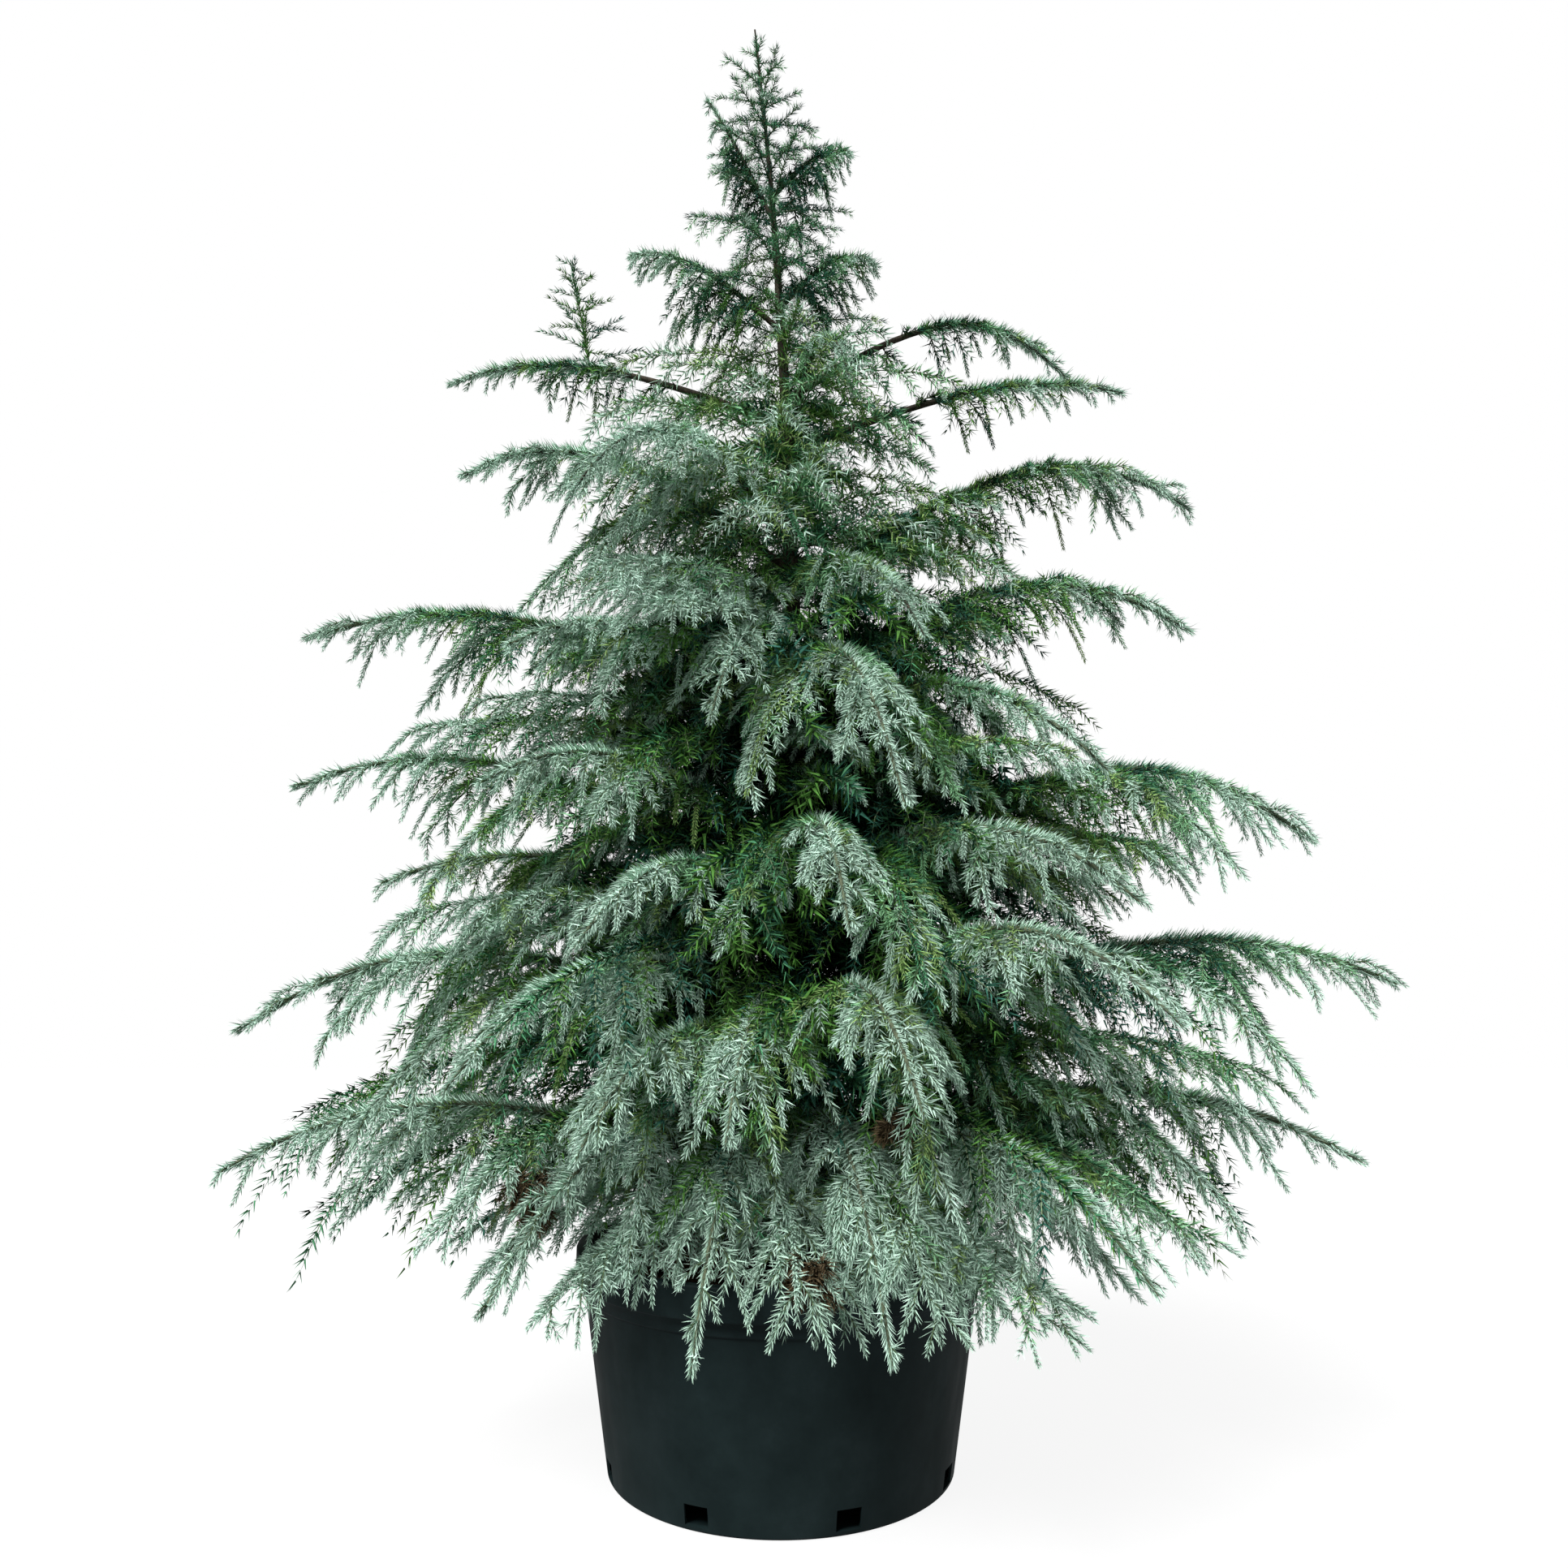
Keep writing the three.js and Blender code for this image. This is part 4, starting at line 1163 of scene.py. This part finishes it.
def build_chips():
    """Flat chips of bark that lie on the compost."""
    inner = wall_radius(SOIL_TOP) - POT_WALL - SOIL_GAP
    index = np.arange(CHIPS["count"])
    reach = (inner - CHIPS["edge"]) * np.sqrt(scatter(index, 1, 5))
    turn = 2 * math.pi * scatter(index, 2, 5)
    keep = reach > trunk_radius(SOIL_TOP) + CHIPS["trunk_gap"]
    centre = np.stack([reach * np.cos(turn), reach * np.sin(turn),
                       np.full(len(index), SOIL_TOP - CHIPS["sink"])], axis=-1)[keep]
    index = index[keep]
    spin = 2 * math.pi * scatter(index, 3, 5)
    long, wide = [CHIPS[side][0] + CHIPS[side][1] * scatter(index, salt, 5)
                  for side, salt in (("long", 4), ("wide", 5))]
    size = np.stack([long, wide, np.full(len(index), CHIPS["thick"])], axis=-1)
    least, spare = CHIPS["corner"]
    chips = []
    for corner in range(8):
        sign = np.array([1 if corner & 1 else -1, 1 if corner & 2 else -1, 1 if corner & 4 else -1])
        half = size * sign * (least + spare * scatter(index, corner, 6))[:, None]
        x = half[:, 0] * np.cos(spin) - half[:, 1] * np.sin(spin)
        y = half[:, 0] * np.sin(spin) + half[:, 1] * np.cos(spin)
        z = half[:, 2] + half[:, 0] * CHIPS["tilt"] * (scatter(index, 6, 5) - 0.5)
        chips.append(centre + np.stack([x, y, z], axis=-1))
    box = np.array([[0, 2, 1], [1, 2, 3], [4, 5, 6], [5, 7, 6], [0, 1, 4], [1, 5, 4],
                    [2, 6, 3], [3, 6, 7], [0, 4, 2], [2, 4, 6], [1, 3, 5], [3, 7, 5]])
    mesh = joined_mesh("chips", [(np.stack(chips, axis=1), box)])
    stops = [(0.3, "#3A2618"), (0.5, "#6A4A32"), (0.75, "#8F6C4C")]
    show("bark_chips", mesh, soil_material("bark_chip", stops), ["soil"])


def ring_frame(point, along, across, radius):
    """The matrix that carries a unit ring to a place on a limb."""
    above = across.cross(along)
    frame_matrix = Matrix((across * radius, above * radius, along)).transposed().to_4x4()
    frame_matrix.translation = point
    return frame_matrix


def grow_tube(bm, points, radii, sides, across=None):
    """A closed tube that a ring is extruded along, in metres."""
    points = [Vector(p) * MM for p in points]
    last = len(points) - 1
    frames = []
    for i, point in enumerate(points):
        chord = (points[min(i + 1, last)] - points[max(i - 1, 0)]).normalized()
        flat = across or chord.cross(Vector((0, 0, 1))).normalized()
        frames.append(ring_frame(point, chord, flat, float(radii[i]) * MM))
    made = bmesh.ops.create_circle(bm, cap_ends=True, segments=sides, radius=1, matrix=frames[0])
    ring = made["verts"]
    edges = [edge for edge in {e for v in ring for e in v.link_edges} if edge.is_boundary]
    for before, after in zip(frames, frames[1:]):
        grown = bmesh.ops.extrude_edge_only(bm, edges=edges)["geom"]
        ring = [item for item in grown if isinstance(item, bmesh.types.BMVert)]
        edges = [item for item in grown if isinstance(item, bmesh.types.BMEdge)
                 and all(v in ring for v in item.verts)]
        bmesh.ops.transform(bm, matrix=after @ before.inverted(), verts=ring)
    bmesh.ops.contextual_create(bm, geom=edges)


def add_bark_relief(bm, ridges):
    """Moves the skin in and out along its normals, in ridges that run upright."""
    bm.normal_update()
    wide = ridges["spacing"]
    for vert in bm.verts:
        grain = Vector((vert.co.x / wide, vert.co.y / wide, vert.co.z / (wide * RIDGE_STRETCH)))
        finer = noise.noise(grain * FINER_RIDGES["fineness"])
        lump = noise.noise(grain) + FINER_RIDGES["share"] * finer
        vert.co += vert.normal * lump * ridges["height"]


def build_trunk(bark):
    """The trunk with its flare and its bark's ridges, and with more rings near its foot."""
    share = np.linspace(0, 1, TRUNK_RINGS) ** TRUNK_CROWDING
    heights = mix(SOIL_TOP + TRUNK_GAP["foot"], TRUNK_TOP - TRUNK_GAP["tip"], share)
    bm = bmesh.new()
    grow_tube(bm, trunk_axis(heights), trunk_radius(heights), TRUNK_SIDES,
              across=Vector((1, 0, 0)))
    add_bark_relief(bm, TRUNK_RIDGES)
    mesh = to_mesh("trunk_bark", bm)
    smooth(mesh, 70)
    show("trunk_bark", mesh, bark, ["trunk"])


def build_limbs(limbs, bark):
    """The boughs up to their joints, and the stems that run on inside the foliage."""
    stem_skin = twig_material("stem_bark", "#59604A")
    groups = {"boughs": [], **{f"stems_{zone}": [] for zone in ZONES}}
    for limb in limbs:
        if limb.is_bough:
            groups["boughs"].append((limb, LIMB_FOOT, limb.joint))
        groups[f"stems_{limb.zone}"].append((limb, limb.joint or LIMB_FOOT, 1.0))
    for name, spans in groups.items():
        bm = bmesh.new()
        for limb, first, last in spans:
            rings = max(LEAST_RINGS, round(LIMB_RINGS * (last - first)))
            s = np.linspace(first, last, rings)
            radii = np.where(s > FINE_END["from"], FINE_END["radius"], limb.radius(s))
            grow_tube(bm, limb.point(s), radii, LIMB_SIDES)
        add_bark_relief(bm, LIMB_RIDGES)
        mesh = to_mesh(name, bm)
        smooth(mesh, 70)
        kind = "bough" if name == "boughs" else "foliage"
        nodes = [f"{kind}_{limb.label}" for limb, _, _ in spans]
        show(name, mesh, bark if name in ("boughs", "stems_top") else stem_skin, nodes)


# Foliage


def limb_as_shoots(limb):
    """A limb cut into short straight lengths, for the needles along its ridge."""
    pieces = RIDGE_PIECES
    first = mix(limb.start, RIDGE_START, limb.clothed >= WELL_CLOTHED)
    s = np.linspace(first, 1, pieces + 1)
    points = limb.point(s)
    step = points[1:] - points[:-1]
    return Shoots(
        start=points[:-1], heading=np.full(pieces, float(limb.heading)),
        length=np.hypot(step[:, 0], step[:, 1]), rise=step[:, 2], drop=0,
        radius=limb.radius(s[:-1]), outer=s[:-1], bloom=limb.bloom,
        seed=limb.seed * 1.7 + np.arange(pieces),
    )


def leader_as_shoots():
    """The top of the trunk cut into short straight lengths, for its needles."""
    heights = np.linspace(LEADER["from"], TRUNK_TOP - LEADER["short"], LEADER["pieces"] + 1)
    axis = trunk_axis(heights)
    step = axis[1:] - axis[:-1]
    return Shoots(
        start=axis[:-1], heading=np.degrees(np.arctan2(step[:, 1], step[:, 0])),
        length=np.hypot(step[:, 0], step[:, 1]), rise=step[:, 2], drop=0,
        radius=trunk_radius(axis[:-1, 2]), outer=LEADER["outer"], bloom=LEADER["bloom"],
        seed=9.1 + np.arange(LEADER["pieces"]),
    )


def tone_of(shoots, lift):
    """The tone that each shoot's needles take, by how far out it is and by its bloom."""
    chance = scatter(shoots.seed, 7, 21)
    greenness = scatter(shoots.seed, 8, 22)
    for x, height, radius in FRESH_PATCHES:
        off = np.hypot(shoots.start[:, 0] - x, shoots.start[:, 2] - height)
        greenness = greenness + FRESH_SHARE * np.clip(1 - off / radius, 0, 1)
    reach = np.hypot(shoots.start[:, 0], shoots.start[:, 1])
    out = np.maximum((reach - COOL["from"]) / COOL["depth"],
                     (shoots.start[:, 2] - COOL["height"]) / COOL["rise"])
    greenness = greenness - COOL["share"] * np.clip(out, 0, 1)
    # Shoots further in score lower and take darker tones, partly their own colour and partly
    # painted shade
    outward = SCORE["outward"] * (shoots.outer - SCORE["middle"])
    score = shoots.bloom + outward + SCORE["chance"] * (chance - 0.5) + lift
    # Below the first step is the shade tone, a painted shade
    tones = np.full(len(shoots), "shade", dtype=object)
    for limit, tone, green_limit, greener in TONE_STEPS:
        tones[score > limit] = tone
        tones[(score > limit) & (greenness > green_limit)] = greener
    return tones


def grow_foliage(limbs):
    """Every twig, fine shoot and group of needles, by zone."""
    foliage = {zone: {"twigs": [], "needles": {tone: [] for tone in TONES}} for zone in ZONES}

    def deal(zone, shoots, kind, part):
        """Puts needles on shoots and files them by tone."""
        tones = tone_of(shoots, LIFT[part])
        for tone in TONES:
            picked = shoots.take(tones == tone)
            if len(picked):
                foliage[zone]["needles"][tone].append((needles_on(picked, kind), PAIR))

    def clothe(zone, twigs, fine):
        """Puts needles on twigs, whose ends are pale fingers, and on their fine shoots."""
        foliage[zone]["twigs"].append((twigs, fine))
        shaded = fine.outer < SHADED_OUTER
        deal(zone, fine.take(~shaded), TIP_NEEDLES, "fine")
        deal(zone, fine.take(shaded), SHADED_NEEDLES, "fine")
        deal(zone, twigs.between(0, FINGER_START), TWIG_NEEDLES, "twig")
        deal(zone, twigs.between(FINGER_START, 1), FINGER_NEEDLES, "finger")

    for limb in limbs:
        twigs = vary_twigs(limb, twigs_of(limb))
        sides = laterals(limb)
        if limb.is_bough:
            sides = join([sides, inner_twigs(limb)])
        hang = HANG.get(limb.label, 1)
        for part in (twigs, sides):
            part.length = part.length * mix(1, hang, 0.5)
            part.drop = part.drop * hang
        sides = lift_off_ground(sides)
        sides = sides.take(inside_space(limb, sides) & clear_of_pot(sides))
        if len(sides):
            twigs = join([twigs, sides, branch(sides, LATERAL_TWIGS, SALTS["side_twigs"])])
        twigs = lift_off_ground(twigs)
        twigs = twigs.take(inside_space(limb, twigs) & clear_of_pot(twigs))
        fine = lift_off_ground(shoots_on(twigs, FINE_SHOOTS, SALTS["fine"]))
        fine = fine.take(inside_space(limb, fine) & clear_of_pot(fine))
        if limb.has_leader:
            spine, side_twigs = second_leader(limb)
            twigs = join([twigs, spine])
            fine = join([fine, side_twigs])
        clothe(limb.zone, twigs, fine)
        ridge = limb_as_shoots(limb)
        is_thin = np.arange(RIDGE_PIECES) >= RIDGE_PIECES - THIN_PIECES
        kind = LIMB_NEEDLES if limb.reach > SMALL_LIMB else LEADER_NEEDLES
        deal(limb.zone, ridge.take(~is_thin), kind, "limb")
        deal(limb.zone, ridge.take(is_thin), TIP_RIDGE_NEEDLES, "limb")

    for index, row in enumerate(CLOTHED_SPRAYS):
        salt = SALTS["clothed_rows"] + SALTS["clothed_step"] * index
        sprays = lift_off_ground(trunk_sprays(row, salt))
        sprays = sprays.take(clear_of_pot(sprays))
        twigs = join([sprays, branch(sprays, LATERAL_TWIGS, SALTS["spray_twigs"])])
        twigs = lift_off_ground(twigs)
        twigs = twigs.take(clear_of_pot(twigs))
        fine = lift_off_ground(shoots_on(twigs, FINE_SHOOTS, SALTS["spray_fine"]))
        clothe(row["zone"], twigs, fine.take(clear_of_pot(fine)))

    for index, row in enumerate(TRUNK_SPRAYS):
        sprays = trunk_sprays(row, SALTS["trunk_rows"] + index)
        sprays = sprays.take(clear_of_pot(sprays, LOWEST_SPRAY))
        fine = shoots_on(sprays, BODY_TWIGS, SALTS["body"])
        fine = fine.take(clear_of_pot(fine, LOWEST_SPRAY))
        foliage[row["zone"]]["twigs"].append((sprays, fine))
        deal(row["zone"], fine, row["needles"], "body")
        deal(row["zone"], sprays, row["needles"], "body")

    dead = dead_sprays()
    foliage["lower"]["twigs"].append((dead.take(slice(0, 0)), dead))
    foliage["lower"]["needles"]["brown"].append((needles_on(dead, DEAD_NEEDLES), PAIR))

    deal("top", leader_as_shoots(), LEADER_NEEDLES, "limb")
    return foliage


def build_foliage(limbs):
    """The twigs, and the needles of each tone, joined by zone."""
    foliage = grow_foliage(limbs)
    skins = {"twigs": twig_material("twig_bark", "#4E6042"),
             "shoots": twig_material("shoot_skin", "#819672")}
    finishes = {tone: needle_material(tone, code) for tone, code in TONES.items()}
    for zone in ZONES:
        nodes = [f"foliage_{limb.label}" for limb in limbs if limb.zone == zone]
        grown = foliage[zone]["twigs"]
        bent = [fine.take(fine.length > BENT_SHOOT) for _, fine in grown]
        straight = [fine.take(fine.length <= BENT_SHOOT) for _, fine in grown]
        tubes = {
            "twigs": [tubes_along(twigs, *TUBES["twig"]) for twigs, _ in grown],
            "shoots": [tubes_along(group, *TUBES["bent"]) for group in bent]
            + [tubes_along(group, *TUBES["straight"]) for group in straight],
        }
        for kind, groups in tubes.items():
            mesh = joined_mesh(f"{kind}_{zone}", groups)
            show(f"{kind}_{zone}", mesh, skins[kind], nodes)
        for tone, parts in foliage[zone]["needles"].items():
            if not parts:
                continue
            mesh = joined_mesh(f"needles_{zone}_{tone}", parts)
            show(f"needles_{zone}_{tone}", mesh, finishes[tone], nodes)


# Floor, lights and camera


def lay_floor():
    """A plain pale floor of backlit white board, on which shadows are faint.

    Only the camera sees it, so it throws no light up at the plant.
    """
    bm = bmesh.new()
    bmesh.ops.create_grid(bm, x_segments=1, y_segments=1, size=FLOOR["half_side"],
                          matrix=Matrix.Translation((0, 0, FLOOR["height"])))
    floor = bpy.data.objects.new("studio_floor", to_mesh("studio_floor", bm))
    bpy.context.scene.collection.objects.link(floor)
    floor.data.materials.append(finish_material(blank_material("backlit_white_board"), {
        "Base Color": colour(FLOOR["colour"]), "Roughness": 0.9, "Specular IOR Level": 0.0,
        "Emission Color": colour("#FFFFFF"), "Emission Strength": FLOOR["glow"],
    }))
    floor.visible_diffuse = False
    floor.visible_glossy = False


def add_key():
    """A broad soft light from above, left and in front."""
    light = bpy.data.lights.new("key", "SUN")
    light.energy = KEY["strength"]
    light.angle = math.radians(KEY["softness"])
    lamp = bpy.data.objects.new("key", light)
    lamp.rotation_euler = Vector(KEY["aim"]).to_track_quat("-Z", "Y").to_euler()
    bpy.context.scene.collection.objects.link(lamp)


def light_scene():
    """A white studio: an even dome that is white to the camera and dim to the plant, and a key."""
    world = bpy.data.worlds.new("studio")
    bpy.context.scene.world = world
    world.use_nodes = True
    nodes, links = world.node_tree.nodes, world.node_tree.links
    path = nodes.new("ShaderNodeLightPath")
    strength = nodes.new("ShaderNodeMapRange")
    strength.inputs["To Min"].default_value = DOME_STRENGTH
    strength.inputs["To Max"].default_value = 1.0
    links.new(path.outputs["Is Camera Ray"], strength.inputs["Value"])
    links.new(strength.outputs["Result"], nodes["Background"].inputs["Strength"])
    nodes["Background"].inputs["Color"].default_value = colour("#FFFFFF")
    add_key()


def place_camera():
    """The photograph's camera: low, close and tilted up."""
    camera = bpy.data.cameras.new("camera")
    camera.lens = CAMERA_LENS
    camera.sensor_width = CAMERA_SENSOR
    eye = bpy.data.objects.new("camera", camera)
    eye.location = CAMERA_PLACE
    eye.rotation_euler = (math.radians(90 + CAMERA_PITCH), 0, 0)
    bpy.context.scene.collection.objects.link(eye)
    bpy.context.scene.camera = eye
    bpy.context.scene.view_settings.view_transform = "Standard"


place_camera()
light_scene()
lay_floor()
LIMBS = list_limbs()
BARK = bark_material()
build_pot()
build_soil()
build_chips()
build_trunk(BARK)
build_limbs(LIMBS, BARK)
build_foliage(LIMBS)
